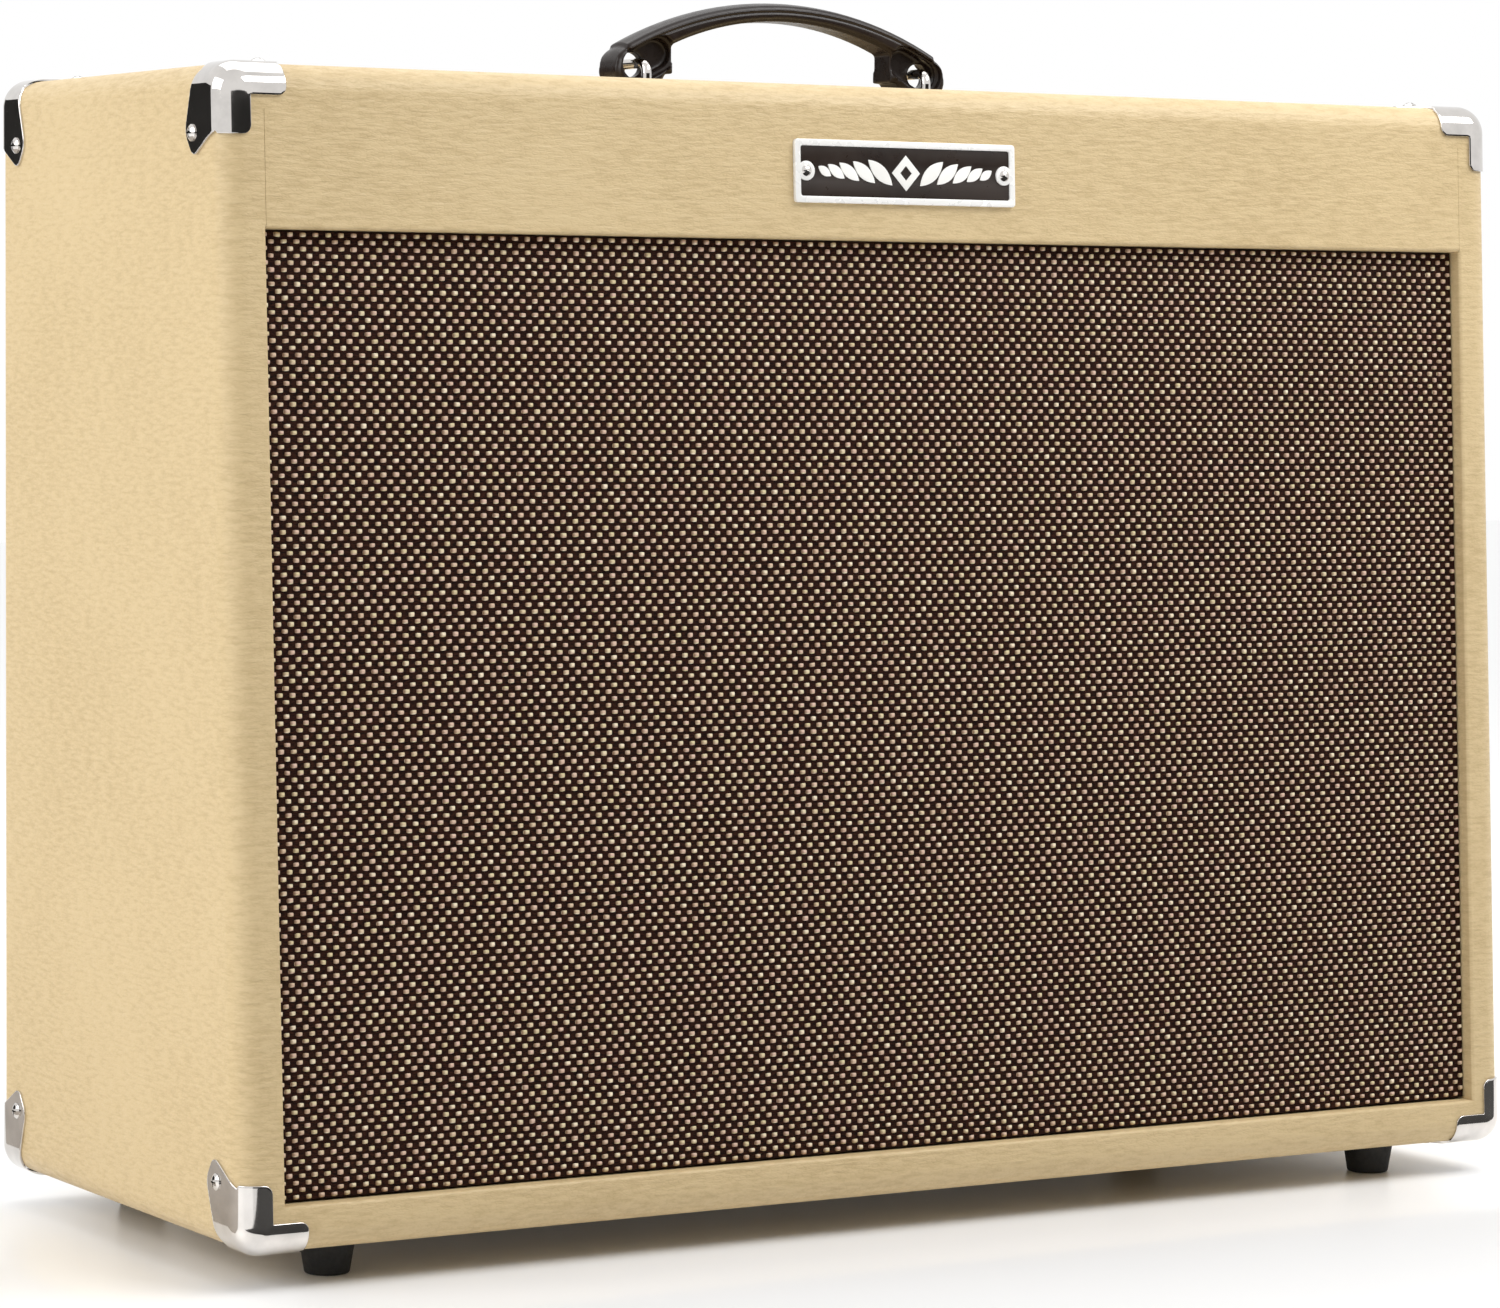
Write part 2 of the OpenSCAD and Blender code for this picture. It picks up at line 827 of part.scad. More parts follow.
module pilot_lamp_holder() {
    color("silver") translate([lamp_x, control_y, 0]) difference() {
        union() {
            translate([0, 0, inner_top - 22]) cylinder(r = 5.8, h = 22 + overlap);
            translate([0, 0, inner_top]) cylinder(r1 = 8, r2 = 7, h = 3);
        }
        translate([0, 0, inner_top - 4]) cylinder(r = 5, h = 10);
    }
}

module pilot_lamp_lens() {
    color("red") translate([lamp_x, control_y, inner_top - 4]) {
        cylinder(r = 5, h = 8);
        intersection() {
            translate([0, 0, 5]) sphere(r = 6.4);
            cylinder(r = 4.9, h = 20);
        }
    }
}

module power_switch() {
    color("#1a1a1a") translate([rocker_x, control_y, 0]) difference() {
        union() {
            translate([0, 0, inner_top - 12]) cube([26.6, 18.6, 24], center = true);
            translate([0, 0, inner_top + 0.75]) cube([30, 22, 1.5], center = true);
            for (x = [-7, 7]) translate([x, 0, inner_top - 28]) cube([0.8, 6.3, 10], center = true);
        }
        translate([0, 0, inner_top]) cube([22.6, 14, 24], center = true);
        translate([0, 0, rocker_z]) rotate([90, 0, 0])
            cylinder(r = 1.5 + run_gap, h = 17, center = true);
    }
}

module power_rocker() {
    color("#2a2a2a") translate([rocker_x, control_y, rocker_z]) {
        rotate([0, -rocker_swing, 0]) rotate([90, 0, 0]) linear_extrude(13, center = true)
            polygon([[-9.6, -4], [9.6, -4], [9.8, 6.4], [0, 4.6], [-9.8, 6.4]]);
        rotate([90, 0, 0]) cylinder(r = 1.5, h = 16.6, center = true);
    }
}

module mains_inlet() {
    color("#1a1a1a") rear_wall(inlet_x) {
        difference() {
            union() {
                translate([0, 0, -10]) cube([27.4, 20.4, 20], center = true);
                translate([0, 0, 1.25]) cube([50, 24, 2.5], center = true);
            }
            translate([0, 0, -5]) cube([24.4, 16.6, 20.2], center = true);
        }
        for (p = [[-7, 2], [7, 2], [0, -2]]) translate([p[0], p[1], -10])
            cube([2, 4, 13], center = true);
    }
}

// ---- Electronics ----

module circuit_board() {
    color("darkgreen") translate([-213, chassis_y + 4, board_z - 1.6])
        cube([346, chassis_d - 8, 1.6]);
}

module capacitors() {
    color("#20304a") for (i = [0:7]) translate([-185 + i * 40, chassis_y + 16, board_z])
        cylinder(r = 5 + i % 3, h = 18 + 3 * (i % 2));
}

module transformer() {
    color("#77706a") translate([core_x, control_y, chassis_low + 24]) {
        cube([62, 54, 38], center = true);
        translate([21, 0, 0]) cube([38, 30, 46], center = true);
        translate([-21, 0, 0]) cube([30, 30, 44], center = true);
    }
}

module heat_sink() {
    low = chassis_low + 4;
    color("silver") {
        translate([-90, chassis_y - 4, low]) cube([180, 4, 62]);
        for (i = [0:14]) translate([-90 + i * 12.7, chassis_y - 22, low]) cube([2.2, 19, 62]);
    }
}

// ---- Loudspeakers ----

module speaker_frame() {
    outer = speaker_d / 2;
    slope = (rim_in - seat_r) / (basket_h - neck_h);
    color("#2b2b2d") difference() {
        rotate_extrude($fn = 96) polygon([
            [rim_in, 0], [outer, 0], [outer, rim_t], [rim_in + wall_t, rim_t],
            [rim_in + wall_t, neck_h], [seat_r + wall_t, basket_h], [gap_r + 3, basket_h],
            [gap_r + 3, basket_h - wall_t], [seat_r + wall_t * slope, basket_h - wall_t],
            [rim_in, neck_h - 1]]);
        for (i = [0:7]) rotate(i * 45) translate([seat_r + 16, -27, neck_h + 2])
            cube([44, 54, basket_h]);
        each_bolt() translate([0, 0, -overlap]) cylinder(r = bolt_r, h = 3 * rim_t);
    }
}

module magnet() {
    ring_r = magnet_d / 2;
    core_r = ring_r - 12;
    color("#3a3a3c") translate([0, 0, basket_h]) rotate_extrude($fn = 96) {
        polygon([[gap_r, 0], [core_r, 0], [core_r, plate_steel], [ring_r, plate_steel],
            [ring_r, plate_steel + magnet_h], [core_r, plate_steel + magnet_h],
            [core_r, 2 * plate_steel + magnet_h], [0, 2 * plate_steel + magnet_h],
            [0, 0], [pole_r, 0], [pole_r, plate_steel + magnet_h],
            [ring_r / 2, plate_steel + magnet_h], [ring_r / 2, plate_steel],
            [gap_r, plate_steel]]);
    }
}

// Surround, paper cone, dust cap, spider and voice coil move as one
module cone() {
    seat = cone_travel;
    edge = rim_in - 3;
    paper = edge - 13;
    neck = 58;
    color("#35302b") rotate_extrude($fn = 96) union() {
        polygon([[paper - 1, seat], [edge, seat], [edge, seat + 1.2], [paper - 1, seat + 1.2]]);
        translate([(paper + edge) / 2, seat + 1]) difference() {
            circle(r = 5.6, $fn = 24);
            circle(r = 4.4, $fn = 24);
            translate([-8, 0]) square([16, 8]);
        }
        polygon([[paper, seat], [paper, seat + 1.2], [coil_r, neck + 2.2], [coil_r, neck]]);
        polygon([[0, 44], [14, 45.5], [26, 50], [36, 52], [37, 53.5], [26, 51.4], [14, 47],
            [0, 45.4]]);
        polygon([[coil_in, neck - 2], [coil_r, neck - 2], [coil_r, basket_h + 8],
            [coil_in, basket_h + 8]]);
        polygon([[coil_r - 0.4, 66], [58, 66], [58, 67.2], [coil_r - 0.4, 67.2]]);
    }
}

module speaker_bolts() {
    color("silver") each_speaker() each_bolt() {
        translate([0, 0, -baffle_t * 0.8]) cylinder(r = bolt_r, h = baffle_t * 0.8 + rim_t);
        translate([0, 0, rim_t]) cylinder(r = 4.4, h = 3.5, $fn = 6);
    }
}

left_side_board();
right_side_board();
top_board();
bottom_board();
top_front_panel();
baffle_board();
mounting_battens();
grille_frame();
grille_cloth();
nameplate();
nameplate_pins();
handle_grip();
handle_staples();
handle_nuts();
corner_caps(-1, 1);  // front_top_corner_caps
corner_caps(-1, -1);  // front_bottom_corner_caps
corner_caps(1, 1);  // rear_top_corner_caps
corner_caps(1, -1);  // rear_bottom_corner_caps
corner_cap_screws();
rubber_feet();
upper_back_panel();
lower_back_panel();
back_panel_screws();
chassis();
chassis_rear_plate();
control_panel();
cabinet_screws();
potentiometers();
knob(0);  // volume_knob
knob(1);  // bass_knob
knob(2);  // middle_knob
knob(3);  // treble_knob
knob(4);  // reverb_knob
knob(5);  // master_knob
shaft(0);  // volume_shaft
shaft(1);  // bass_shaft
shaft(2);  // middle_shaft
shaft(3);  // treble_shaft
shaft(4);  // reverb_shaft
shaft(5);  // master_shaft
input_jack();
rear_jacks();
channel_switch();
channel_lever();
pilot_lamp_holder();
pilot_lamp_lens();
power_switch();
power_rocker();
mains_inlet();
circuit_board();
capacitors();
transformer();
heat_sink();
speaker_axis(-1) speaker_frame();  // left_speaker_frame
speaker_axis(1) speaker_frame();  // right_speaker_frame
speaker_axis(-1) magnet();  // left_magnet
speaker_axis(1) magnet();  // right_magnet
speaker_axis(-1) cone();  // left_cone
speaker_axis(1) cone();  // right_cone
speaker_bolts();
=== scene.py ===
import math
import bmesh
import bpy
import numpy as np
from mathutils import Matrix, Vector
from mathutils.geometry import convex_hull_2d, delaunay_2d_cdt


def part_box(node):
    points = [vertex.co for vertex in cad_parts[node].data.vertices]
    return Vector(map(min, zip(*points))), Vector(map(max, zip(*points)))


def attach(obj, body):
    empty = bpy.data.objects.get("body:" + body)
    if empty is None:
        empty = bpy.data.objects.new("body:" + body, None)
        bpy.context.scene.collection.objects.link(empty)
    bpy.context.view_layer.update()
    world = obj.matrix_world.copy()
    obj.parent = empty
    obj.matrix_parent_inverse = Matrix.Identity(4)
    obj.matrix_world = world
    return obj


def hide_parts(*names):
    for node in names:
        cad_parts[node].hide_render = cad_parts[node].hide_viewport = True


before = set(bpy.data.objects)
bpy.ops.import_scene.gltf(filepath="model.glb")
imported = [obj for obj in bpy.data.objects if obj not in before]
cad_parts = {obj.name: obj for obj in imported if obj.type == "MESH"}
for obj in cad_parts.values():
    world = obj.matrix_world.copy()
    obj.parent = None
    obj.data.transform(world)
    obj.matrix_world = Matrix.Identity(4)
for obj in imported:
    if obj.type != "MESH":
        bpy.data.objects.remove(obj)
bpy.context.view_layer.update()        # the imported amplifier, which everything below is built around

scene = bpy.context.scene
mm = 0.001

# The cabinet's own measures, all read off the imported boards
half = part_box("right_side_board")[1].x
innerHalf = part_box("right_side_board")[0].x
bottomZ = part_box("bottom_board")[0].z
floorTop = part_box("bottom_board")[1].z
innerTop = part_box("top_board")[0].z
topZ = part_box("top_board")[1].z
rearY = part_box("right_side_board")[1].y
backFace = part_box("upper_back_panel")[1].y
cabinet = dict(lean=math.radians(3), edge=12 * mm, edgeSteps=10, frameBack=16 * mm)
sinLean = math.sin(cabinet["lean"])
cosLean = math.cos(cabinet["lean"])
frontFoot = Vector((0, -rearY, bottomZ))
upFront = Vector((0, sinLean, cosLean))
intoFront = Vector((0, cosLean, -sinLean))
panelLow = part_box("top_front_panel")[0].z
openingTop = (panelLow - bottomZ + cabinet["frameBack"] * sinLean) / cosLean
openingLow = (floorTop - bottomZ) / cosLean


def onFront(x, depth, up):
    return frontFoot + Vector((x, 0, 0)) + intoFront * depth + upFront * up


def frontPlace(x, depth, up):     # x runs right, y up the front, z out of it
    place = Matrix((Vector((1, 0, 0)), upFront, -intoFront)).transposed().to_4x4()
    place.translation = onFront(x, depth, up)
    return place


def frontY(z):
    return -rearY + (z - bottomZ) * sinLean / cosLean


def srgb(r, g, b):
    parts = [v / 255 for v in (r, g, b)]
    return tuple(v / 12.92 if v < 0.04045 else ((v + 0.055) / 1.055) ** 2.4 for v in parts) + (1,)


# Camera, floor and light

view = dict(place=(-1.2434, -2.0701, 0.4134), yaw=-0.53601, pitch=-0.06364, roll=0.00843, lens=120.04)


def makeCamera():
    camera = bpy.data.objects.new("camera", bpy.data.cameras.new("camera"))
    camera.data.lens = view["lens"]
    camera.data.sensor_width = 36
    camera.data.clip_end = 60
    turn = Matrix.Rotation(view["yaw"], 4, "Z") @ Matrix.Rotation(math.pi / 2 + view["pitch"], 4, "X")
    camera.matrix_world = Matrix.Translation(view["place"]) @ turn @ Matrix.Rotation(view["roll"], 4, "Z")
    scene.collection.objects.link(camera)
    scene.camera = camera


studio = dict(world=1.0, floor=14.0, floorColour=(0.94, 0.94, 0.94, 1),
              lampAim=(0, 0, 0.25))
lamps = {
    "keyLamp": dict(place=(-2.6, 0.1, 1.5), size=(1.8, 1.4), power=28.5),
    "frontLamp": dict(place=(0.7, -0.9, 1.55), size=(1.5, 0.7), power=20),
    "topLamp": dict(place=(0.2, 0.6, 2.4), size=(2.0, 2.0), power=17),
}
flagUsual = dict(turn=None, shades=False, mirrored=True, grey=0.012)     # without a turn it lies on the floor
flags = {                         # cards out of view, which shade the front and darken the polished metal
    "sideFlag": dict(place=(-1.9, 2.3, 0.75), size=(2.6, 0.9), turn=38),
    "frontFlag": dict(place=(0.25, -2.9, 0.5), size=(5.2, 1.0), turn=180, shades=True),
    "frontShade": dict(place=(0.3, -3.3, 2.5), size=(7.0, 3.6), turn=180, shades=True, mirrored=False),
    "floorFlag": dict(place=(0.86, -1.5, 0.004), size=(2.76, 2.6)),
    "earFlag": dict(place=(-0.85, 0.9, 0.004), size=(0.9, 2.0), grey=0.42),
}


def makeStudio():
    world = bpy.data.worlds.new("studio")
    world.use_nodes = True
    world.node_tree.nodes["Background"].inputs["Color"].default_value = (1, 1, 1, 1)
    world.node_tree.nodes["Background"].inputs["Strength"].default_value = studio["world"]
    scene.world = world
    scene.view_settings.view_transform = "Standard"
    for name, lamp in lamps.items():
        light = bpy.data.lights.new(name, "AREA")
        light.shape = "RECTANGLE"
        light.size, light.size_y = lamp["size"]
        light.energy = lamp["power"]
        holder = bpy.data.objects.new(name, light)
        holder.location = lamp["place"]
        holder.rotation_euler = (Vector(studio["lampAim"]) - holder.location).to_track_quat("-Z", "Y").to_euler()
        scene.collection.objects.link(holder)
    floor = gridPiece("studioFloor", studio["floor"], studio["floor"], floorPaint())
    for name, given in flags.items():
        flag = {**flagUsual, **given}
        card = gridPiece(name, *flag["size"], flagCloth(flag["grey"]))
        card.matrix_world = Matrix.Translation(flag["place"])
        if flag["turn"] is not None:
            card.matrix_world @= (Matrix.Rotation(math.radians(flag["turn"]), 4, "Z")
                                  @ Matrix.Rotation(math.pi / 2, 4, "X"))
        card.visible_camera = False
        card.visible_diffuse = card.visible_shadow = flag["shades"]
        card.visible_glossy = flag["mirrored"]


def gridPiece(name, width, length, finish):
    bm = bmesh.new()
    bmesh.ops.create_grid(bm, x_segments=4, y_segments=4, size=0.5)
    bmesh.ops.scale(bm, vec=(width, length, 1), verts=bm.verts)
    return toObject(name, bm, [finish])


# Small helpers for meshes

def toObject(name, bm, finishes, sharp=30):
    mesh = bpy.data.meshes.new(name)
    bm.to_mesh(mesh)
    bm.free()
    return meshObject(name, mesh, finishes, sharp)


def meshObject(name, mesh, finishes, sharp=30):
    mesh.polygons.foreach_set("use_smooth", [True] * len(mesh.polygons))
    mesh.set_sharp_from_angle(angle=math.radians(sharp))
    for finish in finishes:
        mesh.materials.append(finish)
    piece = bpy.data.objects.new(name, mesh)
    scene.collection.objects.link(piece)
    return piece


def addModifier(piece, name, kind, **settings):
    modifier = piece.modifiers.new(name, kind)
    for key, value in settings.items():
        setattr(modifier, key, value)


def flatShading(piece):           # keeps large flat faces flat beside rounded edges
    addModifier(piece, "flatFaces", "WEIGHTED_NORMAL", keep_sharp=True, weight=100)
    return piece


def evaluatedMesh(source):
    graph = bpy.context.evaluated_depsgraph_get()
    return bpy.data.meshes.new_from_object(source.evaluated_get(graph))


def bakeModifiers(piece):
    mesh = evaluatedMesh(piece)
    piece.modifiers.clear()
    piece.data = mesh
    return piece


def settle(piece, body, slot, *nodes):
    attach(piece, body)
    if nodes:
        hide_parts(*nodes)
    return piece


def slicePlane(bm, point, normal, clear=True):
    everything = bm.verts[:] + bm.edges[:] + bm.faces[:]
    cut = bmesh.ops.bisect_plane(bm, geom=everything, plane_co=point, plane_no=normal, clear_outer=clear)
    if clear:
        rim = [e for e in cut["geom_cut"] if isinstance(e, bmesh.types.BMEdge)]
        bmesh.ops.edgeloop_fill(bm, edges=rim)


def bevelEdges(bm, parts, width, steps, clamped=True):
    bmesh.ops.bevel(bm, geom=parts, offset=width, offset_type="OFFSET", segments=steps, profile=0.5,
                    affect="EDGES", clamp_overlap=clamped)


def roundEdges(bm, onEdge, width, steps=3, along=None):     # along keeps only edges in that direction
    edges = []
    for e in bm.edges:
        run = (e.verts[1].co - e.verts[0].co).normalized()
        if (onEdge(e.verts[0].co) and onEdge(e.verts[1].co) and e.calc_face_angle(0) > 0.4
                and (along is None or abs(run.dot(along)) > 0.98)):
            edges.append(e)
    bevelEdges(bm, edges, width, steps)


def lathe(profile, steps):        # profile points are radius and height, turned round z
    bm = bmesh.new()
    rings = []
    for radius, height in profile:
        if radius < 1e-7:
            rings.append([bm.verts.new((0, 0, height))])
        else:
            angles = [2 * math.pi * i / steps for i in range(steps)]
            rings.append([bm.verts.new((radius * math.cos(a), radius * math.sin(a), height)) for a in angles])
    for low, high in zip(rings, rings[1:] + rings[:1]):
        if len(low) == 1 and len(high) == 1:
            continue
        for i in range(steps):
            j = (i + 1) % steps
            corners = [low[i % len(low)], low[j % len(low)], high[j % len(high)], high[i % len(high)]]
            bm.faces.new(list(dict.fromkeys(corners)))
    bmesh.ops.recalc_face_normals(bm, faces=bm.faces)
    return bm


def roundedProfile(points, radius, steps=4):      # rounds every corner of a closed profile
    out = []
    count = len(points)
    for i in range(count):
        here = Vector(points[i])
        before = Vector(points[i - 1]) - here
        after = Vector(points[(i + 1) % count]) - here
        onAxis = abs(here.x) < 1e-7
        reach = min(radius, before.length * 0.45, after.length * 0.45)
        if onAxis or reach < 1e-7:
            out.append(tuple(here))
            continue
        start, end = here + before.normalized() * reach, here + after.normalized() * reach
        for k in range(steps + 1):
            t = k / steps
            out.append(tuple(start * (1 - t) ** 2 + here * 2 * t * (1 - t) + end * t * t))
    return out


def slab(name, outlines, thickness, bevel, finish, place=Matrix()):   # a flat plate with rounded rims
    curve = bpy.data.curves.new(name, "CURVE")
    curve.dimensions = "2D"
    curve.fill_mode = "BOTH"
    curve.extrude = max(thickness / 2 - bevel, 1e-6)
    curve.bevel_depth = bevel
    curve.bevel_resolution = 3
    curve.offset = -bevel
    for outline in outlines:
        spline = curve.splines.new("POLY")
        spline.points.add(len(outline) - 1)
        for point, (x, y) in zip(spline.points, outline):
            point.co = (x, y, 0, 1)
        spline.use_cyclic_u = True
    source = bpy.data.objects.new(name, curve)
    scene.collection.objects.link(source)
    mesh = evaluatedMesh(source)
    bpy.data.objects.remove(source)
    bm = bmesh.new()
    bm.from_mesh(mesh)
    bmesh.ops.remove_doubles(bm, verts=bm.verts, dist=1e-6)
    bmesh.ops.translate(bm, verts=bm.verts, vec=(0, 0, thickness / 2))
    bmesh.ops.transform(bm, matrix=place, verts=bm.verts)
    return toObject(name, bm, [finish], sharp=50)


def arc(centre, radius, start, end, steps=8):
    angles = [math.radians(start + (end - start) * i / steps) for i in range(steps + 1)]
    return [(centre[0] + radius * math.cos(a), centre[1] + radius * math.sin(a)) for a in angles]


def roundedRect(width, height, radius, steps=5):
    x, y = width / 2 - radius, height / 2 - radius
    corners = [((x, -y), -90), ((x, y), 0), ((-x, y), 90), ((-x, -y), 180)]
    return [p for centre, start in corners for p in arc(centre, radius, start, start + 90, steps)]


def joined(name, pieces, sharp=40):          # one object from several, keeping each one's finish
    bm = bmesh.new()
    finishes = []
    for piece in pieces:
        first = len(bm.faces)
        bm.from_mesh(piece.data)
        bm.faces.ensure_lookup_table()
        for face in bm.faces[first:]:
            face.material_index += len(finishes)
        finishes += [m for m in piece.data.materials]
        bpy.data.objects.remove(piece)
    return toObject(name, bm, finishes, sharp)


def nodeShape(node):
    bm = bmesh.new()
    bm.from_mesh(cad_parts[node].data)
    bmesh.ops.remove_doubles(bm, verts=bm.verts, dist=1e-6)
    return bm


def softened(node, name, finishes, width=0.5 * mm, steps=2):   # a node's own shape with its edges eased
    bm = nodeShape(node)
    bmesh.ops.dissolve_limit(bm, angle_limit=math.radians(0.6), verts=bm.verts, edges=bm.edges)
    piece = toObject(name, bm, finishes)
    addModifier(piece, "easedEdges", "BEVEL", width=width, segments=steps, limit_method="ANGLE",
                angle_limit=math.radians(40))
    bakeModifiers(piece)
    piece.data.set_sharp_from_angle(angle=math.radians(50))
    return flatShading(piece)


# Finishes

def feed(material, socket, value):        # the value is another node's output or a plain number or colour
    if isinstance(value, bpy.types.NodeSocket):
        material.node_tree.links.new(value, socket)
    else:
        socket.default_value = value


def put(material, kind, sockets=None, **settings):
    node = material.node_tree.nodes.new("ShaderNode" + kind)
    for key, value in settings.items():
        setattr(node, key, value)
    for key, value in (sockets or {}).items():
        feed(material, node.inputs[key], value)
    return node


def newFinish(name, colour, rough, **sockets):
    material = bpy.data.materials.new(name)
    material.use_nodes = True
    shader = material.node_tree.nodes["Principled BSDF"]
    shader.inputs["Base Color"].default_value = colour
    shader.inputs["Roughness"].default_value = rough
    for key, value in sockets.items():
        shader.inputs[key.replace("_", " ")].default_value = value
    return material, shader


def whereFrom(material, stretch=(1, 1, 1)):      # coordinates fixed in the amplifier, stretched per axis
    spot = put(material, "TexCoord")
    return put(material, "Mapping", {"Vector": spot.outputs["Object"], "Scale": stretch}).outputs["Vector"]


def noise(material, vector, scale, detail=3.0, rough=0.55):
    sockets = {"Vector": vector, "Scale": scale, "Detail": detail, "Roughness": rough}
    return put(material, "TexNoise", sockets).outputs["Fac"]


def spread(material, value, low, high, fromLow=0.3, fromHigh=0.7):
    sockets = {"Value": value, "From Min": fromLow, "From Max": fromHigh, "To Min": low, "To Max": high}
    return put(material, "MapRange", sockets).outputs["Result"]


def blendColours(material, factor, dark, light, between=()):
    ramp = put(material, "ValToRGB", {"Fac": factor})
    ramp.color_ramp.elements[0].color = dark
    ramp.color_ramp.elements[1].color = light
    for share, colour in between:
        ramp.color_ramp.elements.new(share).color = colour
    return ramp.outputs["Color"]


def connect(material, output, shader, socket):
    material.node_tree.links.new(output, shader.inputs[socket])


def addBump(material, shader, height, strength, distance):
    sockets = {"Height": height, "Strength": strength, "Distance": distance}
    connect(material, put(material, "Bump", sockets).outputs["Normal"], shader, "Normal")


def mixColours(material, factor, a, b):
    return put(material, "Mix", {0: factor, 6: a, 7: b}, data_type="RGBA").outputs[2]


def mathNode(material, operation, a, b=0.0):
    return put(material, "Math", {0: a, 1: b}, operation=operation).outputs["Value"]


def times(material, a, b):
    return mathNode(material, "MULTIPLY", a, b)


def blendOf(material, a, shareA, b, shareB):
    return mathNode(material, "ADD", times(material, a, shareA), times(material, b, shareB))


def simpleFinish(name, dark, light, rough, grain=120.0, bump=0.2, stretch=(1, 1, 1), depth=0.1 * mm, **sockets):
    material, shader = newFinish(name, light, rough[0], **sockets)
    spot = whereFrom(material, stretch)
    coarse = noise(material, spot, grain * 0.12)
    fine = noise(material, spot, grain, 4.0)
    connect(material, blendColours(material, spread(material, coarse, 0, 1), dark, light), shader, "Base Color")
    connect(material, spread(material, fine, rough[0], rough[1]), shader, "Roughness")
    addBump(material, shader, fine, bump, depth)
    return material


# the darkest colour is painted shade for the creases, and the palest is both the pale tone and a painted highlight
# on the ridges
vinyl = dict(base=srgb(207, 184, 141), creaseShade=srgb(184, 160, 117), paleAndRidgeLight=srgb(213, 191, 149), gloss=0.42,
             pebble=400.0, pebbleStretch=(0.8, 0.8, 1.9), pebbleShare=0.1, drift=0.0016, driftScale=170.0,
             wrinkle=330.0, wrinkleStretch=(0.36, 0.36, 1.7), patch=8.0, creaseShadeShare=0.5, patchShare=0.45,
             bump=0.85, depth=0.55 * mm, rough=(0.42, 0.52))


def vinylCloth():                 # cream leather-grained covering, its wrinkles running sideways; its colour has painted shade in the creases and a painted highlight on the ridges, besides random paler patches
    material, shader = newFinish("creamVinyl", vinyl["base"], vinyl["rough"][0], Specular_IOR_Level=vinyl["gloss"])
    spot = whereFrom(material, vinyl["pebbleStretch"])
    drift = put(material, "TexNoise", {"Vector": spot, "Scale": vinyl["driftScale"], "Detail": 2.0})
    shift = put(material, "VectorMath", {0: drift.outputs["Color"], 3: vinyl["drift"]}, operation="SCALE")
    moved = put(material, "VectorMath", {0: spot, 1: shift.outputs["Vector"]}, operation="ADD")
    cells = put(material, "TexVoronoi", {"Vector": moved.outputs["Vector"], "Scale": vinyl["pebble"]},
                feature="DISTANCE_TO_EDGE")
    pebbles = spread(material, cells.outputs["Distance"], 0, 1, 0.0, 0.2)
    creases = noise(material, whereFrom(material, vinyl["wrinkleStretch"]), vinyl["wrinkle"], 2.5, 0.55)
    height = mathNode(material, "ADD", times(material, pebbles, vinyl["pebbleShare"]), creases)
    patches = noise(material, whereFrom(material), vinyl["patch"], 2.0)
    # painted shade and highlight: the colour is darker where grain and wrinkles sink and paler where they rise,
    # mixed with random patches of tone
    shadeAndTone = blendOf(material, spread(material, height, 0, 1, 0.35, 0.85), vinyl["creaseShadeShare"],
                   patches, vinyl["patchShare"])
    colour = blendColours(material, shadeAndTone, vinyl["creaseShade"], vinyl["paleAndRidgeLight"], [(0.5, vinyl["base"])])
    connect(material, colour, shader, "Base Color")
    connect(material, spread(material, creases, vinyl["rough"][1], vinyl["rough"][0]), shader, "Roughness")
    addBump(material, shader, height, vinyl["bump"], vinyl["depth"])
    return material


def woodFinish(name, dark, light, along=(1, 12, 12)):
    material, shader = newFinish(name, light, 0.62)
    spot = whereFrom(material, along)
    bands = put(material, "TexWave", {"Vector": spot, "Scale": 6.0, "Distortion": 5.0, "Detail": 3.0,
                                      "Detail Scale": 2.0}, bands_direction="Z").outputs["Fac"]
    pores = noise(material, spot, 160.0, 4.0)
    grain = blendOf(material, bands, 0.55, pores, 0.6)
    connect(material, blendColours(material, grain, dark, light), shader, "Base Color")
    connect(material, spread(material, pores, 0.55, 0.75), shader, "Roughness")
    addBump(material, shader, pores, 0.25, 0.2 * mm)
    return material


chromeLook = dict(colour=(0.70, 0.67, 0.64, 1), rough=(0.03, 0.07), tarnish=0.86, cloud=90.0, scratch=60.0,
                  scratchStretch=(30, 4, 30), bump=0.05)


def chromeFinish():               # clouded polish with fine scratches
    colour, rough = chromeLook["colour"], chromeLook["rough"]
    material, shader = newFinish("chrome", colour, rough[0], Metallic=1.0)
    cloudy = noise(material, whereFrom(material), chromeLook["cloud"], 3.0)
    scratches = noise(material, whereFrom(material, chromeLook["scratchStretch"]), chromeLook["scratch"], 2.0)
    mixed = blendOf(material, cloudy, 0.6, scratches, 0.4)
    connect(material, spread(material, mixed, rough[0], rough[1], 0.35, 0.65), shader, "Roughness")
    tarnish = tuple(c * chromeLook["tarnish"] for c in colour[:3]) + (1,)
    connect(material, blendColours(material, spread(material, cloudy, 0, 1, 0.3, 0.6), tarnish, colour),
            shader, "Base Color")
    addBump(material, shader, cloudy, chromeLook["bump"], 0.1 * mm)
    return material


def circuitFinish():              # green lacquer over copper tracks
    material, shader = newFinish("circuitGreen", (0.01, 0.11, 0.04, 1), 0.35)
    spot = whereFrom(material)
    tracks = put(material, "TexBrick", {"Vector": spot, "Scale": 90.0, "Color1": (0.01, 0.1, 0.035, 1),
                                        "Color2": (0.012, 0.13, 0.045, 1), "Mortar": (0.05, 0.25, 0.09, 1),
                                        "Mortar Size": 0.03, "Brick Width": 0.9, "Row Height": 0.22})
    connect(material, tracks.outputs["Color"], shader, "Base Color")
    addBump(material, shader, tracks.outputs["Fac"], 0.3, 0.1 * mm)
    return material


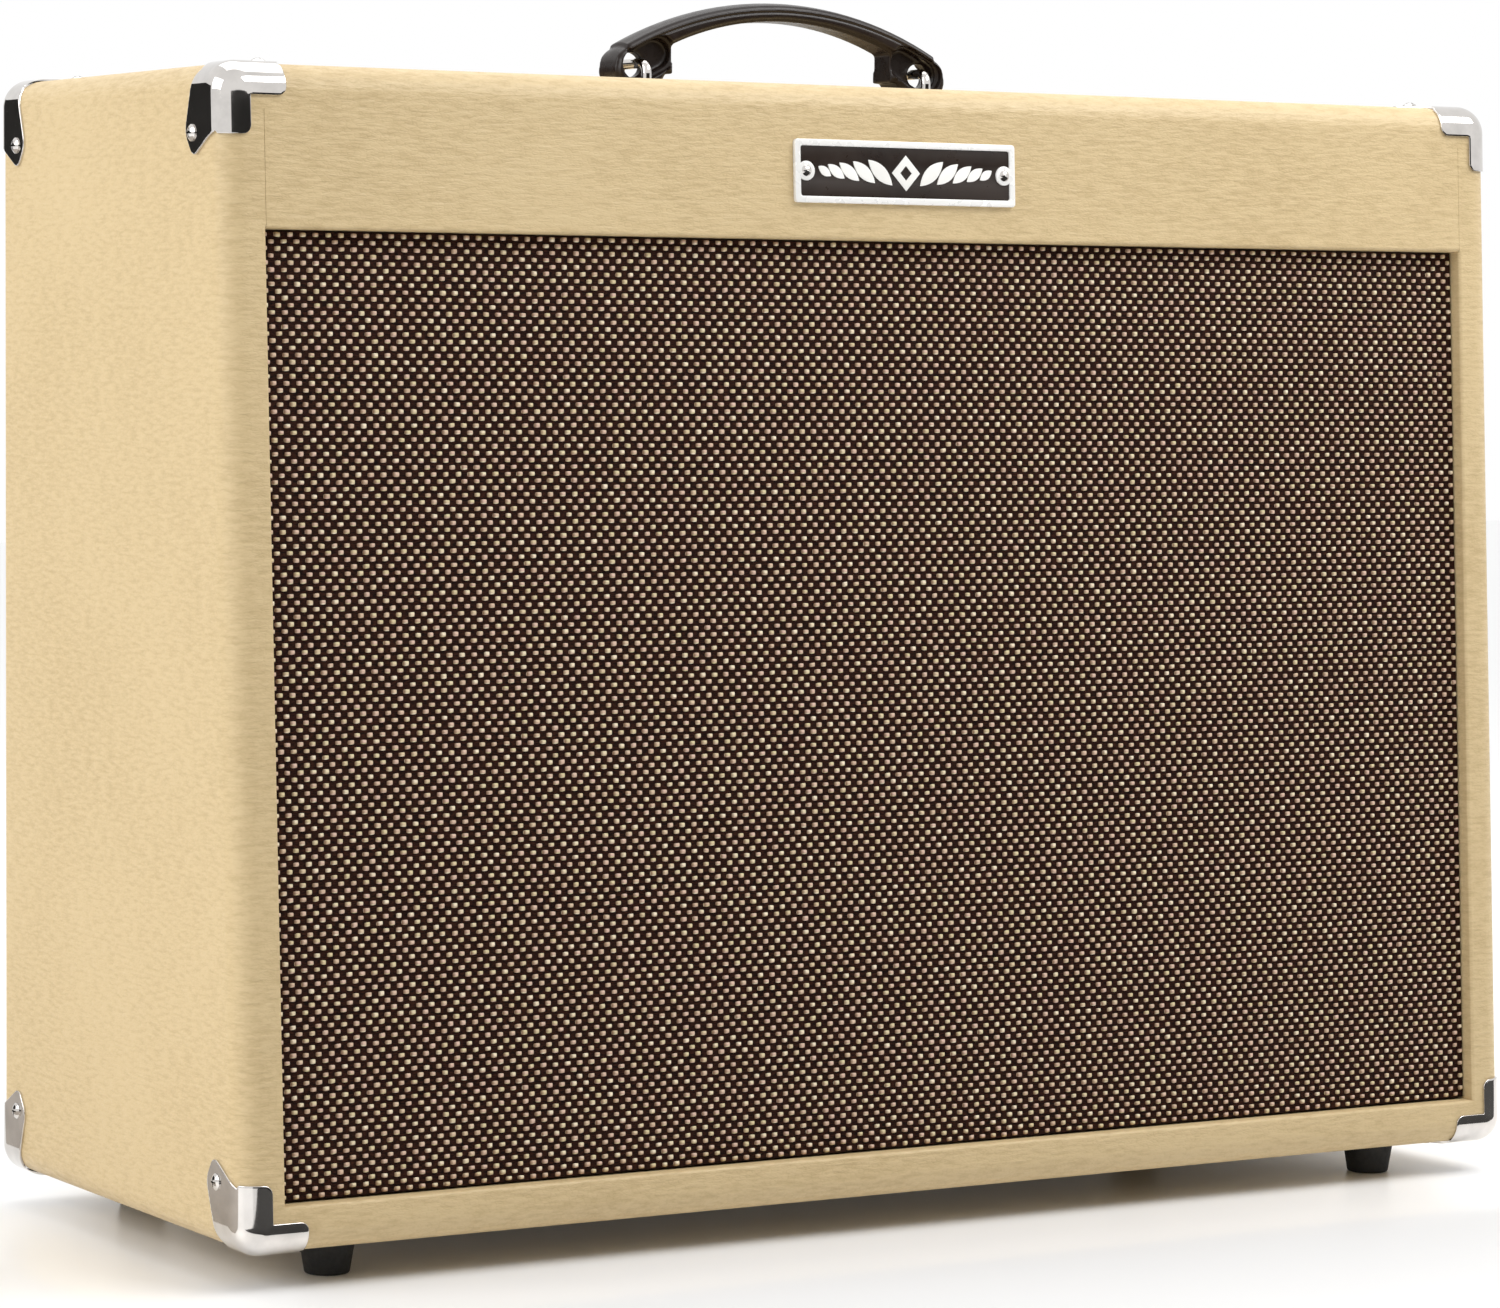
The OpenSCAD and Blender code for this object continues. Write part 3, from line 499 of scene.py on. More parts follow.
def floorPaint():
    material, shader = newFinish("paleFloor", studio["floorColour"], 0.3, Specular_IOR_Level=0.35)
    speck = noise(material, whereFrom(material), 500.0)
    connect(material, spread(material, speck, 0.29, 0.31), shader, "Roughness")
    return material


def flagCloth(grey):
    material, shader = newFinish("flagCloth", (grey, grey * 0.92, grey * 0.84, 1), 0.9)
    weave = noise(material, whereFrom(material), 200.0)
    connect(material, spread(material, weave, 0.85, 1.0), shader, "Roughness")
    return material


# The covered cabinet

boards = dict(seam=0.35 * mm, recessRim=1.5 * mm, rimInset=9 * mm, endInset=20 * mm, stripEdge=1.6 * mm)


def cabinetForm():
    bm = bmesh.new()
    corner = {}
    for side in (-1, 1):
        for z in (bottomZ, topZ):
            corner[side, 0, z] = bm.verts.new((side * half, frontY(z), z))
            corner[side, 1, z] = bm.verts.new((side * half, rearY, z))
    for side in (-1, 1):
        bm.faces.new([corner[side, 0, bottomZ], corner[side, 1, bottomZ], corner[side, 1, topZ],
                      corner[side, 0, topZ]])
    for rear in (0, 1):
        bm.faces.new([corner[-1, rear, bottomZ], corner[1, rear, bottomZ], corner[1, rear, topZ],
                      corner[-1, rear, topZ]])
    for z in (bottomZ, topZ):
        bm.faces.new([corner[-1, 0, z], corner[1, 0, z], corner[1, 1, z], corner[-1, 1, z]])
    bmesh.ops.recalc_face_normals(bm, faces=bm.faces)
    bevelEdges(bm, bm.edges[:] + bm.verts[:], cabinet["edge"], cabinet["edgeSteps"], clamped=False)
    return bm


def paintInside(bm, isInner):     # bare wood on faces that the covering doesn't reach
    for face in bm.faces:
        if isInner(face.calc_center_median()):
            face.material_index = 1


def near(value, target, slack=0.02 * mm):
    return abs(value - target) < slack


def onFace(v):                    # on the plane of the leaning front
    return near((v - frontFoot).dot(intoFront), 0)


def upFace(v):
    return (v - frontFoot).dot(upFront)


def settleBoard(name, bm, finishes, node):
    settle(flatShading(toObject(name, bm, finishes)), "cabinet", "covered_board", node)


def makeBoards(covering, inside):
    up, right, back = Vector((0, 0, 1)), Vector((1, 0, 0)), Vector((0, 1, 0))
    frameDepth = cabinet["frameBack"]
    behindFrame = onFront(0, frameDepth, 0)
    rearPlane = Vector((0, backFace, 0))

    def hidden(middle):
        return (middle - behindFrame).dot(intoFront) > 0 and middle.y < backFace
    for side, name in ((-1, "leftSideCovering"), (1, "rightSideCovering")):
        bm = cabinetForm()
        slicePlane(bm, right * side * innerHalf, right * -side)
        slicePlane(bm, up * floorTop, -up)
        slicePlane(bm, up * innerTop, up)
        slicePlane(bm, onFront(0, 0, openingTop), upFront, clear=False)

        def onStrip(v, atOpening):
            rise = upFace(v)
            return (near(v.x, side * innerHalf) and onFace(v)
                    and (rise < openingTop + 0.1 * mm if atOpening else rise > openingTop - 0.1 * mm))
        roundEdges(bm, lambda v: onStrip(v, True), boards["stripEdge"], along=upFront)
        roundEdges(bm, lambda v: onStrip(v, False), boards["seam"], 2, along=upFront)
        roundEdges(bm, lambda v: near(v.z, floorTop) and onFace(v), boards["seam"], 2, along=right)
        roundEdges(bm, lambda v: near(v.x, side * innerHalf) and near(v.y, rearY), boards["stripEdge"], along=up)
        slicePlane(bm, behindFrame, intoFront, clear=False)
        slicePlane(bm, rearPlane, back, clear=False)
        paintInside(bm, lambda middle: near(middle.x, side * innerHalf) and hidden(middle))
        settleBoard(name, bm, [covering, inside], ("left" if side < 0 else "right") + "_side_board")

    bm = cabinetForm()
    slicePlane(bm, up * floorTop, up)
    for side in (-1, 1):
        slicePlane(bm, right * side * innerHalf, right * side, clear=False)

    def onLedge(v, between):
        inside = abs(v.x) < innerHalf + 0.1 * mm if between else abs(v.x) > innerHalf - 0.1 * mm
        return near(v.z, floorTop) and onFace(v) and inside
    roundEdges(bm, lambda v: onLedge(v, True), boards["stripEdge"], along=right)
    roundEdges(bm, lambda v: onLedge(v, False), boards["seam"], 2, along=right)
    slicePlane(bm, behindFrame, intoFront, clear=False)
    slicePlane(bm, rearPlane, back, clear=False)
    paintInside(bm, lambda middle: near(middle.z, floorTop) and hidden(middle) and abs(middle.x) < innerHalf)
    settleBoard("bottomCovering", bm, [covering, inside], "bottom_board")

    bm = cabinetForm()
    slicePlane(bm, up * innerTop, -up)
    roundEdges(bm, lambda v: near(v.z, innerTop) and near(v.y, rearY), boards["stripEdge"], along=right)
    slicePlane(bm, rearPlane, back, clear=False)
    paintInside(bm, lambda middle: near(middle.z, innerTop) and middle.y < backFace)
    top = toObject("topCovering", bm, [covering, inside])
    low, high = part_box("control_panel")
    well = bmesh.new()
    bmesh.ops.create_cube(well, size=1)
    bmesh.ops.scale(well, vec=(high.x - low.x - 2 * boards["endInset"], high.y - low.y - 2 * boards["rimInset"],
                               0.1), verts=well.verts)
    bmesh.ops.translate(well, vec=(0, (low.y + high.y) / 2, innerTop), verts=well.verts)
    wellSize = [high.x - boards["endInset"], low.y + boards["rimInset"], high.y - boards["rimInset"]]
    cutter = toObject("wellCutter", well, [covering])
    addModifier(top, "well", "BOOLEAN", operation="DIFFERENCE", solver="EXACT", object=cutter)
    bakeModifiers(top)
    bpy.data.objects.remove(cutter)
    bm = bmesh.new()
    bm.from_mesh(top.data)

    def onRim(v):
        onSide = near(abs(v.x), wellSize[0]) and wellSize[1] - mm < v.y < wellSize[2] + mm
        onLong = (near(v.y, wellSize[1]) or near(v.y, wellSize[2])) and abs(v.x) < wellSize[0] + mm
        return near(v.z, topZ) and (onSide or onLong)
    roundEdges(bm, onRim, boards["recessRim"], 4)
    bpy.data.objects.remove(top)
    settleBoard("topCovering", bm, [covering, inside], "top_board")

    bm = cabinetForm()
    for side in (-1, 1):
        slicePlane(bm, right * side * innerHalf, right * side)
    slicePlane(bm, up * innerTop, up)
    slicePlane(bm, behindFrame, intoFront)
    slicePlane(bm, onFront(0, 0, openingTop), -upFront)
    roundEdges(bm, lambda v: near(upFace(v), openingTop) and onFace(v), boards["stripEdge"], along=right)
    roundEdges(bm, lambda v: near(abs(v.x), innerHalf) and onFace(v), boards["seam"], 2, along=upFront)
    settleBoard("topFrontCovering", bm, [covering], "top_front_panel")


# Chromed corner caps

caps = dict(outside=1.15 * mm, inside=0.03 * mm, lattice=1.0, keepOff=0.45, groove=0.2 * mm,
            grooveFrom=7.5, grooveTo=14.0, rim=0.32 * mm)


def grooveDepth(q):               # a shallow groove runs along the inner edge of the front face of each front cap
    m = min(q[0], q[2])
    if q[1] > 1e-6 or not caps["grooveFrom"] < m < caps["grooveTo"]:
        return 0.0
    span = caps["grooveTo"] - caps["grooveFrom"]
    return caps["groove"] * math.sin(math.pi * (m - caps["grooveFrom"]) / span) ** 2


def earOutline():                 # first number in from the front or rear, second along the board, in mm
    tip = arc((25.5, 34.5), 5, 118.7, 35.7) + arc((25.5, 28.5), 8.5, 35.7, -19.1, 12)
    return [(0, 0), (0, 31), (5, 31), (6.3, 29.7)] + tip + [(24.6, 0)]


def lipOutline():
    return [(0, 0), (31, 0)] + arc((27, 10), 4, 0, 90, 6) + [(14, 14)] + arc((10, 27), 4, 0, 90, 6) + [(0, 31)]


def walkOutline(outline):         # adds a point at every lattice step along the straight runs
    points = []
    for here, after in zip(outline, outline[1:] + outline[:1]):
        run = Vector(after) - Vector(here)
        steps = max(1, math.floor(run.length / caps["lattice"] + 1e-6))
        points += [tuple(Vector(here) + run.normalized() * caps["lattice"] * i) for i in range(steps)
                   if run.length - caps["lattice"] * i > 0.3]
    return points


def fillOutline(outline):
    points = walkOutline(outline)
    count = len(points)
    ring = np.array(points)
    following = np.roll(ring, -1, axis=0)
    wide, tall = ring.max(axis=0)
    for i in range(1, int(wide) + 1):
        for j in range(1, int(tall) + 1):
            spot = np.array((i, j), float) * caps["lattice"]
            run = following - ring
            t = np.clip(((spot - ring) * run).sum(1) / (run ** 2).sum(1), 0, 1)
            gap = np.hypot(*(ring + run * t[:, None] - spot).T).min()
            crossing = (ring[:, 1] > spot[1]) != (following[:, 1] > spot[1])
            with np.errstate(divide="ignore", invalid="ignore"):
                reach = ring[:, 0] + (spot[1] - ring[:, 1]) * run[:, 0] / run[:, 1]
            if (crossing & (spot[0] < reach)).sum() % 2 and gap > caps["keepOff"]:
                points.append(tuple(spot))
    found = delaunay_2d_cdt([Vector(p) for p in points], [], [list(range(count))], 1, 1e-6)
    return [tuple(p) for p in found[0]], found[2]


def capShell():                   # the cap's sheet on sharp planes: points in from side, front and top, in mm
    planes = [(earOutline(), lambda p: (0.0, p[0], p[1])), (earOutline(), lambda p: (p[1], p[0], 0.0)),
              (lipOutline(), lambda p: (p[0], 0.0, p[1]))]
    keys, points, faces = {}, [], []
    for outline, lift in planes:
        flat, triangles = fillOutline(outline)
        index = []
        for p in flat:
            q = lift(p)
            key = tuple(round(v, 2) for v in q)
            if key not in keys:
                keys[key] = len(points)
                points.append(q)
            index.append(keys[key])
        faces += [[index[i] for i in triangle] for triangle in triangles]
    return points, faces


def buildCap(bm, shell, side, rear, top):
    points, faces = shell
    z = topZ if top else bottomZ
    corner = Vector((side * half, rearY if rear else frontY(z), z))
    alongUp = Vector((0, 0, 1)) if rear else upFront
    axes = (Vector((-side, 0, 0)), Vector((0, -1 if rear else 1, 0)), alongUp * (-1 if top else 1))
    edge = cabinet["edge"] / mm

    def skin(q, lift):
        core = [max(v, edge) for v in q]
        out = Vector([v - c for v, c in zip(q, core)]).normalized()
        place = Vector(core) + out * (edge + lift / mm)
        return corner + sum((axis * v * mm for axis, v in zip(axes, place)), Vector())
    outer = [bm.verts.new(skin(q, caps["outside"] - (0 if rear else grooveDepth(q)))) for q in points]
    inner = [bm.verts.new(skin(q, caps["inside"])) for q in points]
    edges = {}
    for face in faces:
        bm.faces.new([outer[i] for i in face])
        bm.faces.new([inner[i] for i in reversed(face)])
        for a, b in zip(face, face[1:] + face[:1]):
            edges[frozenset((a, b))] = None if frozenset((a, b)) in edges else (a, b)
    rim = [pair for pair in edges.values() if pair]
    for a, b in rim:
        bm.faces.new([outer[b], outer[a], inner[a], inner[b]])
    return [bm.edges.get((outer[a], outer[b])) for a, b in rim]


def makeCaps(chrome):
    shell = capShell()
    for rear, depthName in ((False, "front"), (True, "rear")):
        for top, heightName in ((True, "Top"), (False, "Bottom")):
            bm = bmesh.new()
            rims = [e for side in (-1, 1) for e in buildCap(bm, shell, side, rear, top)]
            bmesh.ops.recalc_face_normals(bm, faces=bm.faces)
            bevelEdges(bm, rims, caps["rim"], 2)
            piece = toObject(f"{depthName}{heightName}Caps", bm, [chrome], sharp=60)
            settle(piece, "cabinet", "chrome", f"{depthName}_{heightName.lower()}_corner_caps")


# Moulded carrying handle

handle = dict(voxel=0.55 * mm, smoothing=14, crown=2.2 * mm, crownReach=6 * mm, lineDown=4.2 * mm,
              lineWide=0.8 * mm, lineDeep=0.55 * mm, archRise=25 * mm)


def makeHandle(plastic):
    low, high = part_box("handle_grip")
    grip = toObject("handleMoulding", nodeShape("handle_grip"), [plastic])
    addModifier(grip, "remesh", "REMESH", mode="VOXEL", voxel_size=handle["voxel"])
    addModifier(grip, "ease", "SMOOTH", factor=0.5, iterations=handle["smoothing"])
    bakeModifiers(grip)
    mesh = grip.data
    count = len(mesh.vertices)
    spots, normals = np.empty(count * 3), np.empty(count * 3)
    mesh.vertices.foreach_get("co", spots)
    mesh.vertices.foreach_get("normal", normals)
    spots, normals = spots.reshape(-1, 3), normals.reshape(-1, 3)
    middle, width = (low.y + high.y) / 2, (high.y - low.y) / 2
    reach = (high.x - low.x) / 2
    archRadius = (reach ** 2 + handle["archRise"] ** 2) / (2 * handle["archRise"])
    archTop = high.z - archRadius + np.sqrt(np.maximum(archRadius ** 2 - spots[:, 0] ** 2, 0))
    down = archTop - spots[:, 2]
    across = (spots[:, 1] - middle) / width
    spots[:, 2] -= handle["crown"] * across ** 2 * np.clip(1 - down / handle["crownReach"], 0, 1)
    line = np.exp(-((down - handle["lineDown"]) / handle["lineWide"]) ** 2) * (np.abs(normals[:, 1]) > 0.5)
    spots[:, 1] -= np.sign(across) * handle["lineDeep"] * line * (np.abs(spots[:, 0]) < reach - 12 * mm)
    mesh.vertices.foreach_set("co", spots.ravel())
    mesh.update()
    mesh.polygons.foreach_set("use_smooth", [True] * len(mesh.polygons))
    settle(grip, "handle", "handle_plastic", "handle_grip")


# Nameplate with a plain leaf ornament

plate = dict(base=0.9 * mm, raised=2.0 * mm, field=1.15 * mm, ornament=1.6 * mm, bevel=0.3 * mm,
             frame=3 * mm, boss=4.5 * mm, inkBevel=0.12 * mm, pinRadius=2.6 * mm, corner=1.6 * mm,
             fieldCorner=1.2 * mm, lozenge=(7.6 * mm, 8.2 * mm), lozengeHole=0.42)
leaves = ((14.0, 8.6, 3.3, 42), (22.8, 7.6, 3.0, 40), (30.8, 6.6, 2.7, 38), (37.8, 5.4, 2.4, 36),
          (44.0, 4.0, 2.0, 34))   # place, half length and half width in mm, tilt in degrees


def leafOutline(x, reach, width, tilt, side):     # a pointed leaf, tilted, in mm
    points = []
    for k in range(24):
        a = 2 * math.pi * k / 24
        points.append(Vector((math.cos(a) * reach, math.sin(a) * abs(math.sin(a)) * width)))
    turn = Matrix.Rotation(math.radians(tilt * side), 2)
    return [tuple((turn @ p + Vector((side * x, 0))) * mm) for p in points]


def makeNameplate(finishes):
    low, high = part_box("nameplate")
    width = high.x - low.x
    height = (high.z - low.z - plate["raised"] * sinLean) / cosLean
    middleUp = ((low.z + high.z) / 2 - bottomZ - plate["raised"] / 2 * sinLean) / cosLean
    pinLow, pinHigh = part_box("nameplate_pins")
    pinX = (pinHigh.x - pinLow.x) / 2 - plate["pinRadius"]
    place = frontPlace(0, 0, middleUp)
    field = [width / 2 - plate["frame"], height / 2 - plate["frame"]]
    rise = math.sqrt(plate["boss"] ** 2 - (field[0] - pinX) ** 2)
    lowTurn = math.degrees(math.atan2(-rise, field[0] - pinX))
    rightEdge = [p for p in roundedRect(field[0] * 2, field[1] * 2, plate["fieldCorner"], 4) if p[0] > 0]
    lower = [p for p in rightEdge if p[1] < 0]
    upper = [p for p in rightEdge if p[1] > 0]
    rightSide = lower + arc((pinX, 0), plate["boss"], lowTurn, -360 - lowTurn, 20) + upper
    window = rightSide + [(-x, -y) for x, y in rightSide]
    rim = roundedRect(width, height, plate["corner"], 4)
    pieces = [slab("plateBase", [rim], plate["base"], 0.1 * mm, finishes["plateMetal"], place),
              slab("plateFrame", [rim, window], plate["raised"], plate["bevel"], finishes["plateMetal"], place),
              slab("plateField", [window], plate["field"], 0.02 * mm, finishes["plateBlack"], place)]
    reachX, reachUp = plate["lozenge"]
    middle = [(reachX, 0), (0, reachUp), (-reachX, 0), (0, -reachUp)]
    opening = [(x * plate["lozengeHole"], y * plate["lozengeHole"]) for x, y in middle]
    pieces.append(slab("plateLozenge", [middle, opening], plate["ornament"], plate["inkBevel"],
                       finishes["plateWhite"], place))
    for side in (-1, 1):
        for x, reach, wide, tilt in leaves:
            pieces.append(slab("plateLeaf", [leafOutline(x, reach, wide, tilt, side)], plate["ornament"],
                               plate["inkBevel"], finishes["plateWhite"], place))
    settle(joined("nameplateAssembly", pieces), "cabinet", "plate_metal", "nameplate")


# Woven grille cloth

cloth = dict(pitch=3.05 * mm, ground=7.0 * mm, lump=0.45 * mm, halfLength=1.52 * mm, halfHeight=1.02 * mm,
             crest=6.02 * mm, foot=6.95 * mm, jitter=0.09 * mm, parts=4, seed=7,
             sag=0.15 * mm)
# yarn colours; the dark brown for the float ends is painted shade where the floats dive under
yarn = dict(shades=(srgb(212, 186, 158), srgb(246, 232, 206)), between=((0.3, srgb(222, 192, 174)),
            (0.7, srgb(220, 206, 162))), diveShade=srgb(112, 76, 52), worn=srgb(150, 118, 88), strand=800.0)


def numpyMesh(name, spots, sizes, corners, finish, sharp=80):
    mesh = bpy.data.meshes.new(name)
    mesh.vertices.add(len(spots))
    mesh.vertices.foreach_set("co", np.asarray(spots, np.float32).ravel())
    mesh.loops.add(len(corners))
    mesh.loops.foreach_set("vertex_index", np.asarray(corners, np.int32))
    mesh.polygons.add(len(sizes))
    starts = np.concatenate(([0], np.cumsum(sizes)[:-1])).astype(np.int32)
    mesh.polygons.foreach_set("loop_start", starts)
    mesh.update(calc_edges=True)
    mesh.validate()
    return meshObject(name, mesh, [finish], sharp)


def clothSpots(x, depth, up):     # arrays of places behind the front face, to world points
    foot, into, rise = np.array(frontFoot), np.array(intoFront), np.array(upFront)
    return foot + np.multiply.outer(x, (1, 0, 0)) + np.multiply.outer(depth, into) + np.multiply.outer(up, rise)


def clothGrid():
    low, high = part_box("grille_cloth")
    lowUp = (low.z - bottomZ + cabinet["frameBack"] / 2 * sinLean) / cosLean
    highUp = openingTop - 0.5 * mm
    columns, rows = int(2 * high.x / cloth["pitch"]), int((highUp - lowUp) / cloth["pitch"])
    return high.x, lowUp, highUp, columns, rows


def makeCloth(ground, thread):
    halfWide, lowUp, highUp, columns, rows = clothGrid()
    stepX, stepUp = 2 * halfWide / columns, (highUp - lowUp) / rows

    across = np.linspace(-halfWide, halfWide, columns * 3 + 1)
    upward = np.linspace(lowUp, highUp, rows + 1)
    gridX, gridUp = np.meshgrid(across, upward)
    column = np.floor((gridX + halfWide) / stepX + 1e-6)
    row = np.arange(rows + 1)[:, None]
    swell = np.sin(np.pi * ((gridX + halfWide) / stepX - column)) ** 2 * ((row + column) % 2)
    depth = cloth["ground"] + cloth["sag"] - cloth["lump"] * swell
    spots = clothSpots(gridX.ravel(), depth.ravel(), gridUp.ravel())
    wide = columns * 3 + 1
    first = (np.arange(rows)[:, None] * wide + np.arange(wide - 1)).ravel()
    quads = np.stack([first, first + 1, first + wide + 1, first + wide], axis=1)
    sheet = numpyMesh("grilleGround", spots, np.full(len(quads), 4), quads.ravel(), ground)
    settle(sheet, "cabinet", "grille_cloth", "grille_cloth")

    chance = np.random.default_rng(cloth["seed"])
    side = np.linspace(-1, 1, 5)
    u, v = np.meshgrid(side, side)
    shapeX = u * (1 - 0.06 * v ** 2)
    shapeUp = v * (1 - 0.16 * u ** 2)
    dome = (1 - np.abs(u) ** 4) * (1 - np.abs(v) ** 3)
    local = np.arange(25).reshape(5, 5)
    quads = np.stack([local[:-1, :-1], local[:-1, 1:], local[1:, 1:], local[1:, :-1]], axis=-1).reshape(-1, 4)
    rim = np.concatenate([local[0, :-1], local[:-1, -1], local[-1, :0:-1], local[:0:-1, 0]])[::-1]
    loops = np.concatenate([quads.ravel(), rim])
    sizes = np.array([4] * len(quads) + [len(rim)])
    grid = np.argwhere((np.add.outer(np.arange(rows), np.arange(columns)) % 2) == 0)
    for part, chosen in enumerate(np.array_split(grid, cloth["parts"])):
        count = len(chosen)
        sway = chance.normal(0, cloth["jitter"], (count, 2))
        length = cloth["halfLength"] * chance.uniform(0.88, 1.08, count)
        height = cloth["halfHeight"] * chance.uniform(0.86, 1.08, count)
        x = (chosen[:, 1] + 0.5) * stepX - halfWide + sway[:, 0]
        up = (chosen[:, 0] + 0.5) * stepUp + lowUp + sway[:, 1] * 0.6
        x, up = np.clip(x, -halfWide + length, halfWide - length), np.clip(up, lowUp + height, highUp - height)
        proud = (cloth["foot"] - cloth["crest"]) * chance.uniform(0.82, 1.0, count)
        lean = chance.normal(0, 0.05, count)
        pointX = x[:, None] + length[:, None] * shapeX.ravel()
        pointUp = up[:, None] + height[:, None] * (shapeUp.ravel() + lean[:, None] * u.ravel())
        pointUp = np.clip(pointUp, lowUp, highUp)
        pointDepth = cloth["foot"] - proud[:, None] * dome.ravel()
        spots = clothSpots(pointX.ravel(), pointDepth.ravel(), pointUp.ravel())
        corners = (np.arange(count)[:, None] * 25 + loops).ravel()
        piece = numpyMesh(f"grilleThreads{part + 1}", spots, np.tile(sizes, count), corners, thread)
        settle(piece, "cabinet", "grille_cloth")
    print("cloth", columns, "by", rows)


def threadFinish():               # cream yarn, each float its own tint, browner at the ends where it dives under, which is painted shade, fullest at the left end
    material, shader = newFinish("creamYarn", yarn["shades"][1], 0.6, Specular_IOR_Level=0.3)
    halfWide, lowUp, highUp, columns, rows = clothGrid()
    parted = put(material, "SeparateXYZ", {"Vector": whereFrom(material)})
    column = times(material, mathNode(material, "ADD", parted.outputs["X"], halfWide), columns / (2 * halfWide))
    row = times(material, parted.outputs["Z"], rows / (highUp - lowUp) / cosLean)
    cell = put(material, "CombineXYZ", {"X": mathNode(material, "FLOOR", column),
                                        "Y": mathNode(material, "FLOOR", row)}).outputs["Vector"]
    chance = put(material, "TexWhiteNoise", {"Vector": cell}).outputs["Value"]
    shade = blendColours(material, chance, *yarn["shades"], yarn["between"])
    along = mathNode(material, "FRACT", column)
    # painted shade: each float darkens towards its ends, fully at the left end and partly at the right, where the
    # yarn dives under
    diveShadeFactor = times(material, spread(material, along, 0, 1, 0.02, 0.42), spread(material, along, 1, 0.35, 0.86, 1.0))
    strands = noise(material, whereFrom(material, (1, 1, 6)), yarn["strand"], 2.0)
    diveShade = mixColours(material, diveShadeFactor, yarn["diveShade"], shade)
    worn = mixColours(material, spread(material, strands, 0, 0.3, 0.35, 0.7), diveShade, yarn["worn"])
    connect(material, worn, shader, "Base Color")
    addBump(material, shader, strands, 0.35, 0.1 * mm)
    return material


def groundFinish():               # dark brown yarn behind, nearly black in the gaps
    material, shader = newFinish("brownYarn", srgb(40, 22, 14), 0.8, Specular_IOR_Level=0.12)
    strands = noise(material, whereFrom(material, (1, 1, 4)), 500.0, 3.0)
    connect(material, blendColours(material, spread(material, strands, 0, 1, 0.35, 0.75), srgb(12, 3, 1),
                                   srgb(62, 32, 20)), shader, "Base Color")
    addBump(material, shader, strands, 0.5, 0.15 * mm)
    return material


# Feet, knobs and panel marks

feet = dict(radius=12.5 * mm, bottom=0.8, screwPocket=5 * mm, screwHole=1.9 * mm, ease=1.2 * mm)


def makeFeet(rubber):
    low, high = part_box("rubber_feet")
    tall = high.z - low.z
    radius = feet["radius"]
    across, deep = high.x - radius, high.y - radius
    pocket = tall / 2
    profile = roundedProfile([(feet["screwHole"], pocket), (feet["screwPocket"], pocket), (feet["screwPocket"], 0),
                              (radius * feet["bottom"], 0), (radius * 0.985, tall * 0.86), (radius, tall * 0.9),
                              (radius, tall), (feet["screwHole"], tall)], feet["ease"])
    bm = bmesh.new()
    for x in (-across, across):
        for y in (-deep, deep):
            foot = lathe(profile, 64)
            bmesh.ops.translate(foot, vec=(x, y, low.z), verts=foot.verts)
            moulded = bpy.data.meshes.new("foot")
            foot.to_mesh(moulded)
            foot.free()
            bm.from_mesh(moulded)
            bpy.data.meshes.remove(moulded)
    settle(toObject("rubberFeet", bm, [rubber], 35), "cabinet", "foot_rubber", "rubber_feet")


knobs = dict(names=("volume", "bass", "middle", "treble", "reverb", "master"), skirt=0.45, nutRoom=6.0 * mm,
             nutDeep=2.9 * mm, neck=5.2 * mm, nose=1.2 * mm, tail=3 * mm, lineWide=0.55 * mm, ticks=11,
             sweep=150, tickFrom=14.8 * mm, tickTo=17.2 * mm, ink=0.12 * mm, borderInX=24 * mm,
             borderInY=13 * mm, borderLine=0.6 * mm, borderCorner=3 * mm, longTick=0.9 * mm, shortTick=0.6 * mm)


def hullOutline(circles):         # the line round several circles, each given by its centre and radius
    points = [Vector(p) for centre, radius in circles for p in arc(centre, radius, 0, 348, 29)]
    return [tuple(points[i]) for i in convex_hull_2d(points)]


def shaftPlace(name):
    low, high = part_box(f"{name}_shaft")
    return (low.x + high.x) / 2, (low.y + high.y) / 2


def makeKnobs(plastic, white):
    for name in knobs["names"]:
        low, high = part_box(f"{name}_knob")
        x, y = shaftPlace(name)
        radius, tall = (high.x - low.x) / 2, high.z - low.z
        skirtTop = tall * knobs["skirt"]
        place = Matrix.Translation((x, y, low.z))
        profile = roundedProfile([(0, knobs["nutDeep"]), (knobs["nutRoom"], knobs["nutDeep"]),
                                  (knobs["nutRoom"], 0), (radius, 0), (radius, skirtTop * 0.4),
                                  (radius * 0.9, skirtTop), (0, skirtTop)], 0.6 * mm)
        skirt = lathe(profile, 72)
        for vert in skirt.verts:          # shallow grips round the skirt
            reach = math.hypot(vert.co.x, vert.co.y)
            if reach > radius * 0.85:
                turn = math.atan2(vert.co.y, vert.co.x)
                vert.co.xy *= 1 - 0.02 * (0.5 + 0.5 * math.cos(turn * 18))
        bmesh.ops.transform(skirt, matrix=place, verts=skirt.verts)
        skirtPiece = toObject("skirt", skirt, [plastic], 40)
        nose, tail = high.y - y - knobs["nose"], low.y - y + knobs["tail"]
        outline = hullOutline([((0, 0), knobs["neck"]), ((0, nose), knobs["nose"]), ((0, tail), knobs["tail"])])
        base = skirtTop - 0.5 * mm
        pointer = slab("pointer", [outline], tall - knobs["ink"] - base, 0.9 * mm, plastic,
                       place @ Matrix.Translation((0, 0, base)))
        wide = knobs["lineWide"]
        line = [(-wide, -2 * mm), (wide, -2 * mm), (wide * 0.8, nose), (-wide * 0.8, nose)]
        mark = slab("line", [line], 2 * knobs["ink"], 0.02 * mm, white,
                    place @ Matrix.Translation((0, 0, tall - 2 * knobs["ink"])))
        settle(joined(f"{name}PointerKnob", [skirtPiece, pointer, mark]), f"{name}_knob_body", "knob_plastic",
               f"{name}_knob")


